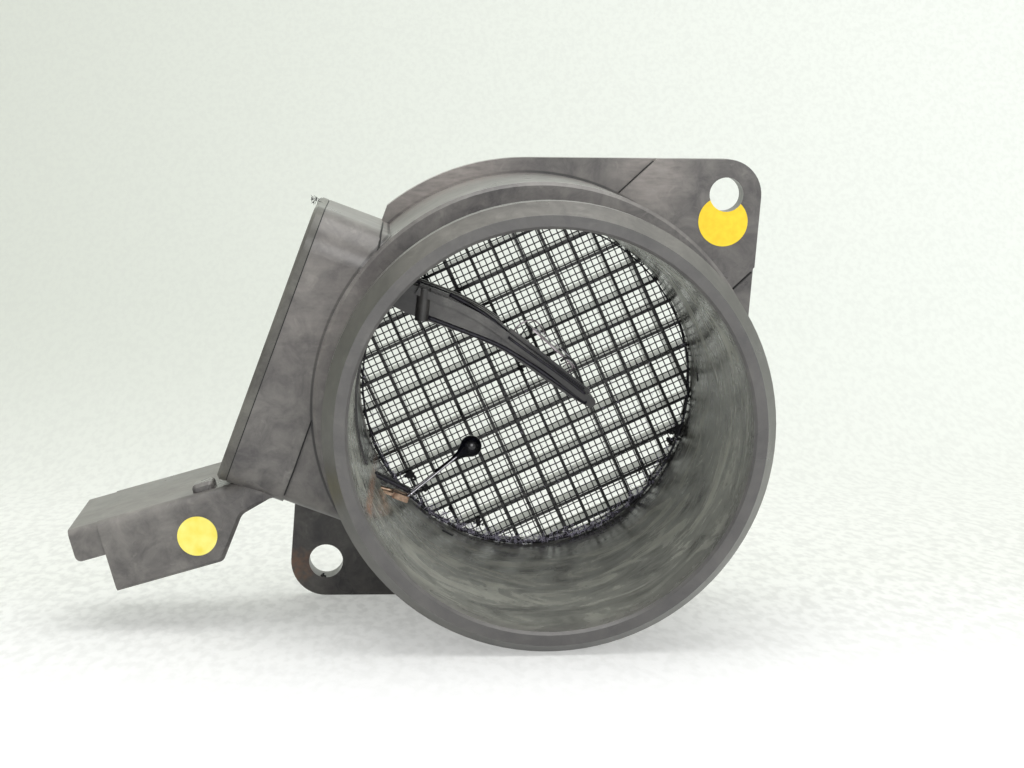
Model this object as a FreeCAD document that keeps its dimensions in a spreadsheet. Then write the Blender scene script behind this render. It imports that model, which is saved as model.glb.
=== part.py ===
import FreeCAD, Part
import Sketcher
import math
import os
import re

# Air flow sensor: a moulded tube with a bolting flange, a leaning electronics box on its side,
# a six-way plug socket below the box, a sensing arm and a temperature bead in the air stream,
# and a wire screen over a square flow straightener at the filter end.
#
# Frame: origin on the bore axis in the plane of the mating face, +Z up, air leaves towards -Y.
# A "depth" is a distance in front of the mating face, so depth d lies at Y = -d.

DOCUMENT = FreeCAD.newDocument("air_flow_sensor")
SHEET = DOCUMENT.addObject("Spreadsheet::Sheet", "dims")

# Driving dimensions, in millimetres and degrees
DIMENSIONS = [
    ("tube_length", 74.0, "mating face to hose end"),
    ("seat_radius", 36.2, "recess that takes the screens"),
    ("seat_shoulder", 2.4, "step from that recess to the bore"),
    ("bore_draft", 1.6, "bore wider at the hose end"),
    ("hose_wall", 3.1, "wall at the hose end"),
    ("lip_land", 2.4, "flat ring on the hose end"),
    ("bead_rise", 1.5, "hose retaining bead above the hose seat"),
    ("collar_wall", 6.05, "wall of the tube's thick part"),
    ("flange_edge", 3.15, "round flange beyond the thick part"),
    ("lip_bevel", 0.5, "bevel inside the hose end"),
    ("bead_ramp", 4.5, "length of the bead's front slope"),
    ("bead_land", 4.0, "length of the bead at full radius"),
    ("bead_back", 1.2, "length of the bead's back slope"),
    ("collar_depth", 46.8, "front face of the collar"),
    ("collar_bevel", 0.6, "bevel on the collar's front edge"),
    ("flange_thickness", 5.4, "flange at the bolt pads"),
    ("web_thickness", 3.9, "flange between the pads"),
    ("lug_radius", 7.2, "corner of each lug"),
    ("bolt_circle", 112.0, "pitch circle of the bolt holes"),
    ("bolt_lean", 42.4, "bolt line above the horizontal"),
    ("bolt_hole", 7.0, "clearance hole for an M6 bolt"),
    ("pad_half_width", 15.1, "half the width of a bolt pad"),
    ("seal_inset", 1.65, "middle of the seal groove inside the thick part"),
    ("seal_groove_width", 3.2, "width of the seal groove"),
    ("seal_groove_depth", 2.2, "depth of the seal groove"),
    ("seal_section", 2.9, "thickness of the ring seal"),
    ("fit_gap", 0.15, "clearance round pushed-in parts"),
    ("ring_height", 1.2, "retaining ring"),
    ("ring_land", 2.0, "retaining ring, outside to hole"),
    ("grid_height", 7.2, "flow straightener, along the bore"),
    ("grid_wall", 0.62, "bars of the flow straightener"),
    ("grid_pitch", 4.95, "spacing of the bars"),
    ("grid_rim", 1.5, "outer ring of the flow straightener"),
    ("grid_turn", 24.1, "turn of the bars about the bore"),
    ("grid_shift", 1.9, "bars off the centre, downwards"),
    ("screen_thickness", 0.5, "wire screen"),
    ("screen_gap", 7.45, "side of a gap in the plain screen"),
    ("screen_pitch", 8.4, "spacing of those gaps"),
    ("lean", 20.7, "lean of the electronics box"),
    ("box_overlap", 3.4, "box reaching into the tube's thick part"),
    ("box_length", 11.25, "box away from the tube"),
    ("box_top_inset", 21.65, "upper end of the box below the tube's top"),
    ("box_bottom_inset", 8.35, "lower end of the box above the tube's bottom"),
    ("box_front", 45.6, "front face of the box, depth"),
    ("box_back", 3.0, "back face of the box, depth"),
    ("box_top_round", 8.0, "rounded upper front edge"),
    ("box_bottom_round", 5.5, "rounded lower front edge"),
    ("box_back_round", 2.5, "rounded back edges"),
    ("box_wall", 2.0, "wall of the box"),
    ("neck_step", 0.35, "neck set in from the box all round"),
    ("cover_thickness", 1.8, "cover of the box"),
    ("cover_bevel", 0.6, "bevel round the cover"),
    ("bond_thickness", 0.2, "adhesive bead under the cover"),
    ("bond_inset", 0.15, "adhesive bead in from the edge"),
    ("cover_lip", 1.4, "rim of the cover that drops into the box"),
    ("cover_lip_wall", 1.2, "wall of that rim"),
    ("bond_overlap", 0.3, "adhesive bead inside the box wall"),
    ("socket_lean", 15.3, "lean of the plug socket"),
    ("neck_reach", 9.1, "socket's neck beyond the open side of the box"),
    ("neck_root", 1.1, "neck inside the box wall"),
    ("heel_reach", 5.8, "slope between the neck and the socket"),
    ("floor_thickness", 4.0, "bottom of the socket's cavity"),
    ("socket_length", 20.7, "inner end of the socket to its mouth"),
    ("hood_length", 5.8, "hood over the mouth"),
    ("boss_gap", 3.7, "neck's outer end to the boss, clear of the cover"),
    ("bend_gap", 3.8, "neck's outer end to the bend of the blades"),
    ("pin_root", 1.4, "blades inside the open side of the box"),
    ("socket_top", 1.4, "upper face of the socket above the origin line"),
    ("socket_bottom", 12.2, "lower face of the socket below it"),
    ("socket_front", 43.0, "front side of the socket, depth"),
    ("socket_back", 9.5, "back side of the socket, depth"),
    ("socket_wall", 1.6, "wall of the socket"),
    ("socket_round", 2.4, "rounded upper edges of the socket"),
    ("hood_inset", 0.9, "hood set in from the socket's sides"),
    ("hood_step", 0.15, "hood below the socket's upper face"),
    ("hood_drop", 5.0, "lower edge of the hood below the origin line"),
    ("heel_slope", 4.0, "slope at the socket's inner end"),
    ("heel_step", 7.0, "upper end of that slope below the origin line"),
    ("neck_drop", 4.6, "underside of the neck at its outer end"),
    ("neck_lift", 3.0, "underside of the neck at its inner end"),
    ("boss_height", 1.5, "boss above the socket beside the cover"),
    ("boss_length", 4.2, "boss along the socket"),
    ("boss_width", 5.2, "boss across the socket"),
    ("boss_round", 0.9, "rounded edge of the boss"),
    ("boss_bevel", 0.6, "bevel at the boss's sides"),
    ("heel_round", 1.5, "rounded corner at the socket's inner end"),
    ("throat_round", 2.5, "hollow corner between the neck and the slope"),
    ("socket_lower_bevel", 0.7, "bevelled lower edges of the socket"),
    ("pin_width", 1.5, "connector blade"),
    ("pin_thickness", 0.8, "connector blade"),
    ("pin_pitch", 4.6, "spacing of the blades"),
    ("pin_reach", 12.5, "blade tip in front of the cavity's bottom"),
    ("pin_level", 5.6, "blades below the origin line"),
    ("pin_rise", 0.1, "blades in the neck below the origin line"),
    ("carrier_recess", 0.3, "carrier set back from the bore"),
    ("carrier_top", 16.0, "upper end of the sensor carrier"),
    ("carrier_bottom", 22.0, "lower end of the sensor carrier, downwards"),
    ("carrier_front", 40.0, "front of the sensor carrier, depth"),
    ("carrier_back", 12.0, "back of the sensor carrier, depth"),
    ("carrier_wall", 1.8, "skin of the carrier"),
    ("arm_lean", 30.7, "fall of the sensing arm"),
    ("arm_front", 36.0, "front edge of the arm, depth"),
    ("arm_back", 23.0, "back edge of the arm, depth"),
    ("rib_height", 0.7, "ribs on top of the arm"),
    ("rib_width", 1.6, "ribs on top of the arm"),
    ("rib_inset", 0.4, "outer ribs in from the arm's edges"),
    ("rib_start", -0.9, "root end of the ribs, as a share of the bore's radius"),
    ("rib_end", -0.385, "other end of the ribs, as a share"),
    ("rail_start", -0.334, "root end of the rail, as a share"),
    ("rail_end", 0.237, "other end of the rail, as a share"),
    ("post_radius", 1.3, "rounded post at the arm's root"),
    ("post_head", -0.870, "upper end of the post, as a share of the bore's radius"),
    ("post_foot", -0.792, "lower end of the post, as a share"),
    ("brow_depth", 1.1, "strip that stands out along the arm's upper edge"),
    ("brow_height", 1.5, "height of that strip"),
    ("rail_height", 0.9, "rail in front of the film"),
    ("film_fall", 11.5, "fall of the film against the arm"),
    ("film_length", 12.4, "heated film with its ends in the clips"),
    ("film_thickness", 0.3, "heated film"),
    ("film_level", 9.7, "film above the bore axis, in its own direction"),
    ("film_centre", 3.8, "middle of the film before the bore axis"),
    ("film_width", 7.0, "film along the air stream"),
    ("clip_length", 1.5, "clip along the arm"),
    ("clip_height", 0.8, "clip above the film"),
    ("clip_foot", 4.0, "clip below the film, into the arm"),
    ("bead_tip_radius", 2.1, "temperature bead"),
    ("bead_tip_along", 12.25, "bead left of the bore axis"),
    ("bead_tip_drop", 9.63, "bead below the bore axis"),
    ("bead_tip_depth", 30.0, "bead in front of the mating face"),
    ("bead_neck", 4.6, "bead's centre to the end of its taper"),
    ("bead_neck_radius", 0.62, "end of the bead's taper"),
    ("lead_lean", 35.7, "rise of the wires towards the bead"),
    ("lead_radius", 0.25, "wire of the temperature bead"),
    ("lead_spacing", 2.6, "spacing of the two wires at their terminals"),
    ("lead_joint", 0.7, "spacing of the two wires inside the bead"),
    ("terminal_width", 1.6, "terminal strip"),
    ("terminal_thickness", 0.6, "terminal strip"),
    ("terminal_tail", 2.5, "terminals inside the box"),
    ("terminal_level", 27.2, "terminals below the box's middle line"),
    ("terminal_end", 15.95, "free end of the terminals from the bore axis"),
    ("terminal_block", 3.2, "joint block at the terminal's end"),
    ("plate_thickness", 1.2, "metal plate behind the circuit"),
    ("plate_top", 17.0, "upper end of the metal plate"),
    ("plate_bottom", 24.6, "lower end of the metal plate, downwards"),
    ("plate_front", 41.3, "front edge of the metal plate, depth"),
    ("plate_back", 9.0, "back edge of the metal plate, depth"),
    ("board_thickness", 0.9, "ceramic circuit board"),
    ("board_margin", 1.5, "board in from the metal plate"),
    ("chip_side", 7.0, "control chip"),
    ("regulator_drop", 14.0, "voltage regulator below the chip"),
    ("regulator_shift", 6.0, "voltage regulator towards the hose end"),
    ("capacitor_rise", 11.0, "capacitors above the chip"),
    ("capacitor_shift", 7.0, "capacitors to each side of the chip"),
    ("chip_height", 1.6, "control chip"),
    ("regulator_side", 5.0, "voltage regulator"),
    ("capacitor_length", 3.2, "capacitor"),
    ("capacitor_width", 2.4, "capacitor"),
    ("capacitor_height", 2.0, "capacitor"),
    ("sticker_thickness", 0.12, "paper disc"),
    ("flange_sticker_radius", 5.1, "disc on the flange"),
    ("flange_sticker_inset", 4.2, "that disc inwards from the bolt hole"),
    ("flange_sticker_drop", 3.6, "that disc below the bolt line"),
    ("socket_sticker_radius", 3.75, "disc on the socket"),
    ("socket_sticker_along", 3.3, "that disc outwards from the socket's inner end"),
    ("socket_sticker_drop", 6.15, "that disc below the origin line"),
]

# Sizes that follow from them, as distances from the bore axis unless the note says otherwise
DERIVED = [
    ("screen_bore_radius", "seat_radius - seat_shoulder", "bore in front of the wire screen"),
    ("lip_bore_radius", "screen_bore_radius + bore_draft", "bore at the hose end"),
    ("spigot_radius", "lip_bore_radius + hose_wall", "hose seat behind the bead"),
    ("lip_face_radius", "lip_bore_radius + lip_land", "outside of the flat ring"),
    ("bead_radius", "spigot_radius + bead_rise", "hose retaining bead"),
    ("collar_radius", "seat_radius + collar_wall", "thick part of the tube"),
    ("flange_radius", "collar_radius + flange_edge", "round part of the flange"),
    ("seal_groove_radius", "collar_radius - seal_inset", "middle of the seal groove"),
    ("ring_bore", "seat_radius - ring_land", "hole of the retaining ring"),
    ("box_inner", "collar_radius - box_overlap", "where the box meets its neck"),
    ("box_outer", "box_inner + box_length", "open side of the box"),
    ("box_top", "collar_radius - box_top_inset", "upper end of the box"),
    ("box_bottom", "collar_radius - box_bottom_inset", "lower end of the box, downwards"),
    ("neck_end", "box_outer - neck_root", "inner end of the socket's neck"),
    ("neck_start", "box_outer + neck_reach", "outer end of the socket's neck"),
    ("socket_heel", "neck_start + heel_reach", "inner end of the socket"),
    ("socket_floor", "socket_heel + floor_thickness", "bottom of the socket's cavity"),
    ("socket_mouth", "socket_heel + socket_length", "mouth of the socket"),
    ("socket_hood", "socket_mouth + hood_length", "end of the hood"),
    ("boss_start", "neck_start + boss_gap", "inner end of the boss"),
    ("pin_bend", "neck_start + bend_gap", "bend of the blades"),
    ("pin_end", "box_outer + pin_root", "end of the blades inside the box"),
    ("carrier_radius", "screen_bore_radius + carrier_recess", "inner skin of the carrier"),
    ("terminal_root", "box_inner + box_wall + terminal_tail", "end of the terminals in the box"),
]

for row, (alias, value, note) in enumerate(DIMENSIONS + DERIVED, start=1):
    SHEET.set(f"A{row}", note)
    SHEET.set(f"B{row}", str(value) if isinstance(value, float) else f"={value}")
    SHEET.setAlias(f"B{row}", alias)
DOCUMENT.recompute()


def size(term):
    """The value of an expression of the driving dimensions."""
    return float(SHEET.evalExpression(term))


def bound(term):
    """The same expression as other objects of the document write it."""
    names = {alias for alias, _, _ in DIMENSIONS + DERIVED}
    return re.sub(r"[a-z_]+", lambda word: "dims." + word[0] if word[0] in names else word[0], term)


def bind(item, prop, term):
    """Set a property of an object from an expression of the driving dimensions."""
    item.setExpression(prop, bound(term))


def turned(item, angle_term):
    """Lean an object about the bore direction."""
    item.Placement = FreeCAD.Placement(
        FreeCAD.Vector(0, 0, 0), FreeCAD.Rotation(FreeCAD.Vector(0, 1, 0), size(angle_term)))
    bind(item, "Placement.Rotation.Angle", angle_term)
    return item


def new_body(name):
    return DOCUMENT.addObject("PartDesign::Body", name)


def origin_plane(body, role):
    return next(f for f in body.Origin.OriginFeatures if f.Role == role)


def new_sketch(body, role, depth="0"):
    """A sketch on one of the body's own origin planes, moved along its normal."""
    sketch = body.newObject("Sketcher::SketchObject", body.Name + "_sketch")
    sketch.AttachmentSupport = [(origin_plane(body, role), "")]
    sketch.MapMode = "FlatFace"
    bind(sketch, "AttachmentOffset.Base.z", depth)
    return sketch


def hold_point(sketch, index, vertex, along, up):
    """Fix one point of the sketch by two expressions of the driving dimensions."""
    for kind, term in (("DistanceX", along), ("DistanceY", up)):
        number = sketch.addConstraint(Sketcher.Constraint(kind, index, vertex, size(term)))
        bind(sketch, f"Constraints[{number}]", term)


def add_polygon(sketch, corners):
    """A closed outline through corners given as pairs of expressions."""
    points = [FreeCAD.Vector(size(along), size(up), 0) for along, up in corners]
    first = sketch.GeometryCount
    count = len(corners)
    for k in range(count):
        sketch.addGeometry(Part.LineSegment(points[k], points[(k + 1) % count]))
    for k in range(count):
        here = first + k
        sketch.addConstraint(Sketcher.Constraint("Coincident", here, 2, first + (k + 1) % count, 1))
        hold_point(sketch, here, 1, *corners[k])
    return sketch


def add_circle(sketch, along, up, radius):
    centre = FreeCAD.Vector(size(along), size(up), 0)
    index = sketch.addGeometry(Part.Circle(centre, FreeCAD.Vector(0, 0, 1), size(radius)))
    hold_point(sketch, index, 3, along, up)
    number = sketch.addConstraint(Sketcher.Constraint("Radius", index, size(radius)))
    bind(sketch, f"Constraints[{number}]", radius)
    return sketch


def pad(body, sketch, length, backwards=False):
    feature = body.newObject("PartDesign::Pad", body.Name + "_pad")
    feature.Profile = sketch
    bind(feature, "Length", length)
    feature.Reversed = backwards
    sketch.recompute()
    feature.recompute()
    return feature


def revolve(body, sketch):
    """A full turn about the sketch's own horizontal axis."""
    feature = body.newObject("PartDesign::Revolution", body.Name + "_turn")
    feature.Profile = sketch
    feature.ReferenceAxis = (sketch, ["H_Axis"])
    feature.Angle = 360
    sketch.recompute()
    feature.recompute()
    return feature


def round_edges(body, base, radius, wanted, kind="PartDesign::Fillet"):
    """Round or bevel the edges of the last feature whose middle point passes the test."""
    names = []
    for k, edge in enumerate(base.Shape.Edges, start=1):
        middle = edge.valueAt((edge.FirstParameter + edge.LastParameter) / 2)
        if wanted(edge, middle):
            names.append(f"Edge{k}")
    feature = body.newObject(kind, body.Name + "_edge")
    feature.Base = (base, names)
    bind(feature, "Radius" if kind.endswith("Fillet") else "Size", radius)
    feature.recompute()
    return feature


def fused(name, pieces, refine=True):
    item = DOCUMENT.addObject("Part::MultiFuse", name)
    item.Shapes = pieces
    item.Refine = refine
    return item


def cut(name, base, tool):
    item = DOCUMENT.addObject("Part::Cut", name)
    item.Base = base
    item.Tool = tool
    return item


def turned_solid(name, corners):
    """A body turned about the bore axis from an outline of (Y, radius) pairs."""
    body = new_body(name)
    sketch = add_polygon(new_sketch(body, "YZ_Plane"), corners)
    revolve(body, sketch)
    return body


def block(name, corners, front, back, lean=None):
    """An outline in the XZ plane, filled from one depth to another."""
    body = new_body(name)
    sketch = add_polygon(new_sketch(body, "XZ_Plane", back), corners)
    pad(body, sketch, f"({front}) - ({back})")
    if lean:
        turned(body, lean)
    return body


def rectangle(left, right, low, high):
    return [(left, low), (right, low), (right, high), (left, high)]


def near(value, term, slack=0.05):
    return abs(value - size(term)) < slack


# Expressions that several pieces share
SEAT_DEPTH = "(ring_height + grid_height + screen_thickness)"
BOX_FLOOR = "(box_inner + box_wall)"
BOLT_REACH = "(bolt_circle / 2)"
LUG_COS = f"((flange_radius - lug_radius) / {BOLT_REACH})"
LUG_SIN = f"(sqrt(1 - {LUG_COS} ^ 2))"


# Tube: one turned outline for the outside and one for the bore
def tube_outside():
    bead_start = "(tube_length - bead_ramp)"
    body = turned_solid("tube", [
        ("0", "0"),
        ("0", "collar_radius"),
        ("-(collar_depth - collar_bevel)", "collar_radius"),
        ("-collar_depth", "collar_radius - collar_bevel"),
        ("-collar_depth", "spigot_radius"),
        (f"-({bead_start} - bead_land - bead_back)", "spigot_radius"),
        (f"-({bead_start} - bead_land)", "bead_radius"),
        (f"-{bead_start}", "bead_radius"),
        ("-tube_length", "lip_face_radius"),
        ("-tube_length", "0"),
    ])
    return body


def bore():
    return turned_solid("bore", [
        ("1", "0"),
        ("1", "seat_radius"),
        (f"-{SEAT_DEPTH}", "seat_radius"),
        (f"-{SEAT_DEPTH}", "screen_bore_radius"),
        ("-(tube_length - lip_bevel)", "lip_bore_radius"),
        ("-tube_length", "lip_bore_radius + lip_bevel"),
        ("-(tube_length + 1)", "lip_bore_radius + lip_bevel"),
        ("-(tube_length + 1)", "0"),
    ])


# Flange: a round plate drawn out to two lugs along the bolt line
def flange_outline(name, inset, front, back):
    body = new_body(name)
    radius = f"(flange_radius - ({inset}))"
    corner = f"(lug_radius - ({inset}))"
    right = (f"{BOLT_REACH} + {corner} * {LUG_COS}", f"{corner} * {LUG_SIN}")
    middle = (f"{radius} * {LUG_COS}", f"{radius} * {LUG_SIN}")
    upper = [right, middle, (f"-({middle[0]})", middle[1]), (f"-({right[0]})", right[1])]
    lower = [(along, f"-({up})") for along, up in reversed(upper)]
    outline = add_polygon(new_sketch(body, "XZ_Plane", back), upper + lower)
    pad(body, outline, f"({front}) - ({back})")
    for along, size_term in (("0", radius), (BOLT_REACH, corner), (f"-{BOLT_REACH}", corner)):
        disc = add_circle(new_sketch(body, "XZ_Plane", back), along, "0", size_term)
        pad(body, disc, f"({front}) - ({back})")
    return turned(body, "-bolt_lean")


def flange():
    """A plate with two thicker bolt pads, trimmed where the box stands."""
    over = "flange_thickness + 1"
    plate = flange_outline("flange_plate", "0", "flange_thickness", "0")
    web = flange_outline("flange_web", "-lug_radius", over, "web_thickness")
    reach = "bolt_circle"
    pads = block("bolt_pads", rectangle(f"-{reach}", reach, "-pad_half_width", "pad_half_width"),
                 over, "0", "-bolt_lean")
    trimmed = block("flange_trim", rectangle(f"-{reach}", "-box_inner", f"-{reach}", reach),
                    over, "-1", "lean")
    return cut("flange", cut("flange_relieved", plate, cut("flange_recess", web, pads)), trimmed)


def bolt_holes():
    holes = new_body("bolt_holes")
    for along in (BOLT_REACH, f"-{BOLT_REACH}"):
        circle = add_circle(new_sketch(holes, "XZ_Plane", "-1"), along, "0", "bolt_hole / 2")
        pad(holes, circle, "flange_thickness + 2")
    return turned(holes, "-bolt_lean")


# Electronics box: one rounded outline, seen along the box's depth, at several insets
def box_shape(name, inset, outer, inner):
    """The box outline, set in, between two distances from the bore axis."""
    body = new_body(name)
    front, back = f"-(box_front - ({inset}))", f"-(box_back + ({inset}))"
    low, high = f"-(box_bottom - ({inset}))", f"box_top - ({inset})"
    sketch = add_polygon(new_sketch(body, "YZ_Plane", f"-({outer})"), rectangle(front, back, low, high))
    last = pad(body, sketch, f"({outer}) - ({inner})")
    corners = [(front, high, "box_top_round"), (front, low, "box_bottom_round"),
               (back, high, "box_back_round"), (back, low, "box_back_round")]
    for along, up, radius in corners:
        def on_corner(edge, middle, along=along, up=up):
            return near(middle.y, along) and near(middle.z, up)
        last = round_edges(body, last, f"max({radius} - ({inset}); 0.4)", on_corner)
    return turned(body, "lean")


# Plug socket: a hooded shroud on a thin neck under the box
def socket_outside():
    body = block("socket_shell", [
        ("-socket_mouth", "socket_top"),
        ("-socket_mouth", "-socket_bottom"),
        ("-socket_heel", "-socket_bottom"),
        ("-(socket_heel - heel_slope)", "-heel_step"),
        ("-neck_start", "-neck_drop"),
        ("-(neck_end + 4)", "-neck_lift"),
        ("-neck_end", "-neck_lift"),
        ("-neck_end", "socket_top"),
    ], "socket_front", "socket_back", "-socket_lean")

    def upper_side(edge, middle):
        along_sides = near(middle.y, "-socket_front") or near(middle.y, "-socket_back")
        return near(middle.z, "socket_top") and along_sides
    last = round_edges(body, body.Tip, "socket_round", upper_side)

    def heel_corner(edge, middle):
        return near(middle.x, "-socket_heel") and near(middle.z, "-socket_bottom")
    last = round_edges(body, last, "heel_round", heel_corner)

    def throat_corner(edge, middle):
        return near(middle.x, "-neck_start") and near(middle.z, "-neck_drop")
    last = round_edges(body, last, "throat_round", throat_corner)

    def lower_side(edge, middle):
        along_sides = near(middle.y, "-socket_front") or near(middle.y, "-socket_back")
        return near(middle.z, "-socket_bottom") and along_sides
    round_edges(body, last, "socket_lower_bevel", lower_side, "PartDesign::Chamfer")

    hood = block("socket_hood_shell", rectangle("-socket_hood", "-(socket_mouth - 1)",
                                                "-hood_drop", "socket_top - hood_step"),
                 "socket_front - hood_inset", "socket_back + hood_inset", "-socket_lean")

    def hood_side(edge, middle):
        front, back = "-(socket_front - hood_inset)", "-(socket_back + hood_inset)"
        on_side = near(middle.y, front) or near(middle.y, back)
        return near(middle.z, "socket_top - hood_step") and on_side
    last = round_edges(hood, hood.Tip, "socket_round - hood_inset", hood_side)

    def hood_corner(edge, middle):
        return near(middle.x, "-socket_hood") and near(middle.z, "-hood_drop")
    round_edges(hood, last, "socket_round / 2", hood_corner)

    top, front = "socket_top + boss_height", "(socket_front - socket_round)"
    boss = block("socket_boss", rectangle("-(boss_start + boss_length)", "-boss_start", "0", top),
                 front, f"{front} - boss_width", "-socket_lean")

    def boss_edge(edge, middle):
        across = near(middle.x, "-(boss_start + boss_length)") or near(middle.x, "-boss_start")
        return near(middle.z, top) and across
    last = round_edges(boss, boss.Tip, "boss_round", boss_edge)

    def boss_side(edge, middle):
        on_side = near(middle.y, f"-{front}") or near(middle.y, f"-({front} - boss_width)")
        return near(middle.z, top) and on_side
    round_edges(boss, last, "boss_bevel", boss_side, "PartDesign::Chamfer")
    return [body, hood, boss]


def socket_cavity():
    side = "(hood_inset + socket_wall)"
    body = block("socket_cavity", rectangle("-(socket_hood + 1)", "-socket_floor",
                                            "-(socket_bottom - socket_wall)",
                                            "socket_top - socket_wall"),
                 f"socket_front - {side}", f"socket_back + {side}", "-socket_lean")
    return body


def connector_pins():
    """Six bent blades, from the socket through the neck into the box."""
    half = "pin_thickness / 2"
    tip = "-(socket_floor + pin_reach)"
    profile = [
        (tip, f"-(pin_level + {half})"),
        (f"-(pin_bend - {half})", f"-(pin_level + {half})"),
        (f"-(pin_bend - {half})", f"-(pin_rise + {half})"),
        ("-pin_end", f"-(pin_rise + {half})"),
        ("-pin_end", f"-(pin_rise - {half})"),
        (f"-(pin_bend + {half})", f"-(pin_rise - {half})"),
        (f"-(pin_bend + {half})", f"-(pin_level - {half})"),
        (tip, f"-(pin_level - {half})"),
    ]
    pins = []
    for k in range(6):
        centre = f"((socket_front + socket_back) / 2 + {k - 2.5} * pin_pitch)"
        pin = block(f"connector_pin_{k + 1}", profile, f"{centre} + pin_width / 2",
                    f"{centre} - pin_width / 2", "-socket_lean")
        pins.append(pin)
    return pins


# Sensor carrier: a hollow moulded insert in the tube wall, with the arm grown from its skin
def round_tool(name, radius):
    tool = DOCUMENT.addObject("Part::Cylinder", name)
    bind(tool, "Radius", radius)
    bind(tool, "Height", "tube_length")
    tool.Placement = FreeCAD.Placement(FreeCAD.Vector(0, 0, 0),
                                       FreeCAD.Rotation(FreeCAD.Vector(1, 0, 0), 90))
    return tool


def carrier_block(name, grow, outer, inner="15"):
    return block(name, rectangle(f"-({outer})", f"-({inner})", f"-(carrier_bottom + ({grow}))",
                                 f"carrier_top + ({grow})"),
                 f"carrier_front + ({grow})", f"carrier_back - ({grow})", "lean")


# The arm as seen along the bore, in its own leaning frame, as shares of the bore's radius
ARM_UNDERSIDE = [(-1.006, 0.059), (-0.858, 0.068), (-0.645, 0.107), (-0.325, 0.151), (-0.08, 0.136),
                 (0.272, 0.121)]
ARM_TOP = [(0.272, 0.178), (-0.012, 0.216), (-0.325, 0.257), (-0.556, 0.272), (-0.828, 0.237),
           (-1.006, 0.207)]


def arm_point(share, depth="arm_back"):
    radius = size("screen_bore_radius")
    return FreeCAD.Vector(share[0] * radius, -size(depth), share[1] * radius)


def arm_blade():
    """The blade: two smooth curves and a rounded tip, drawn out along the bore."""
    def curve(shares):
        line = Part.BSplineCurve()
        line.interpolate([arm_point(share) for share in shares])
        return line.toShape()

    start, end = arm_point(ARM_UNDERSIDE[-1]), arm_point(ARM_TOP[0])
    bulge = (start + end) / 2 + FreeCAD.Vector((end - start).Length / 2, 0, 0)
    tip = Part.Arc(start, bulge, end).toShape()
    root = Part.LineSegment(arm_point(ARM_TOP[-1]), arm_point(ARM_UNDERSIDE[0])).toShape()
    face = Part.Face(Part.Wire([curve(ARM_UNDERSIDE), tip, curve(ARM_TOP), root]))
    return face.extrude(FreeCAD.Vector(0, -size("arm_front - arm_back"), 0))


def dressed_arm():
    """The blade with ribs on its root half, a rail in front of the film and a strip on its edge."""
    radius, width, front = size("screen_bore_radius"), size("rib_width"), size("arm_front")
    ribs, rail = (size("rib_start"), size("rib_end")), (size("rail_start"), size("rail_end"))
    blade = arm_blade()

    def strip(shape, span, near_depth, across, height):
        """The part of a raised copy that lies between two shares of the radius and two depths."""
        corner = FreeCAD.Vector(span[0] * radius, -near_depth - across, 0)
        raised = shape.translated(FreeCAD.Vector(0, 0, height))
        return raised.common(Part.makeBox((span[1] - span[0]) * radius, across, radius, corner))

    pieces = [strip(blade, ribs, depth, width, size("rib_height")) for depth in
              (size("arm_back + rib_inset"), size("(arm_front + arm_back - rib_width) / 2"),
               size("arm_front - rib_inset - rib_width"))]
    pieces.append(strip(blade, rail, front - width, width, size("rail_height")))
    brow = size("brow_depth")
    forward = blade.translated(FreeCAD.Vector(0, -brow, 0))
    edge = forward.cut(forward.translated(FreeCAD.Vector(0, 0, -size("brow_height"))))
    pieces.append(strip(edge, (ribs[0], rail[1]), front, brow, 0))
    shape = blade
    for added in pieces:
        shape = shape.fuse(added)
    item = DOCUMENT.addObject("Part::Feature", "arm_dressed")
    item.Shape = shape
    return turned(item, "arm_lean")


def arm_post():
    """The rounded post where the arm's front edge meets the carrier, upright on the finished part."""
    foot = arm_point((size("post_foot"), ARM_UNDERSIDE[1][1]), "arm_front")
    head = arm_point((size("post_head"), ARM_TOP[-2][1]), "arm_front")
    item = DOCUMENT.addObject("Part::Feature", "arm_post")
    item.Shape = Part.makeCylinder(size("post_radius"), (head - foot).Length, foot, head - foot)
    return turned(item, "arm_lean")


def sensor_arm():
    skin = cut("carrier_solid", carrier_block("carrier_outside", "0", BOX_FLOOR),
               round_tool("carrier_bore", "carrier_radius"))
    hollow = cut("carrier_hollow",
                 carrier_block("carrier_inside", "-carrier_wall", f"{BOX_FLOOR} + 1", "10"),
                 round_tool("carrier_skin", "carrier_radius + carrier_wall"))
    carrier = cut("carrier", skin, hollow)
    return fused("sensor_arm", [carrier, dressed_arm(), arm_post()], refine=False)


def heated_film(arm):
    """The film over the arm, and the clip at each of its ends."""
    lean = "arm_lean + film_fall"
    middle = "(arm_front + arm_back) / 2"
    depths = f"{middle} + film_width / 2", f"{middle} - film_width / 2"
    left, right = "-film_centre - film_length / 2", "-film_centre + film_length / 2"
    low, high = "film_level - film_thickness / 2", "film_level + film_thickness / 2"
    film = block("heater_film", rectangle(left, right, low, high), *depths, lean)
    clips = []
    wider = f"{depths[0]} + 0.5", f"{depths[1]} - 0.5"
    for k, (start, end) in enumerate([(left, f"{left} + clip_length"), (f"{right} - clip_length", right)]):
        raw = block(f"clip_block_{k + 1}",
                    rectangle(start, end, "film_level - clip_foot", f"{high} + clip_height"), *wider, lean)
        clips.append(cut(f"film_clip_{k + 1}", cut(f"clip_slotted_{k + 1}", raw, film), arm))
    return [film] + clips


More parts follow.
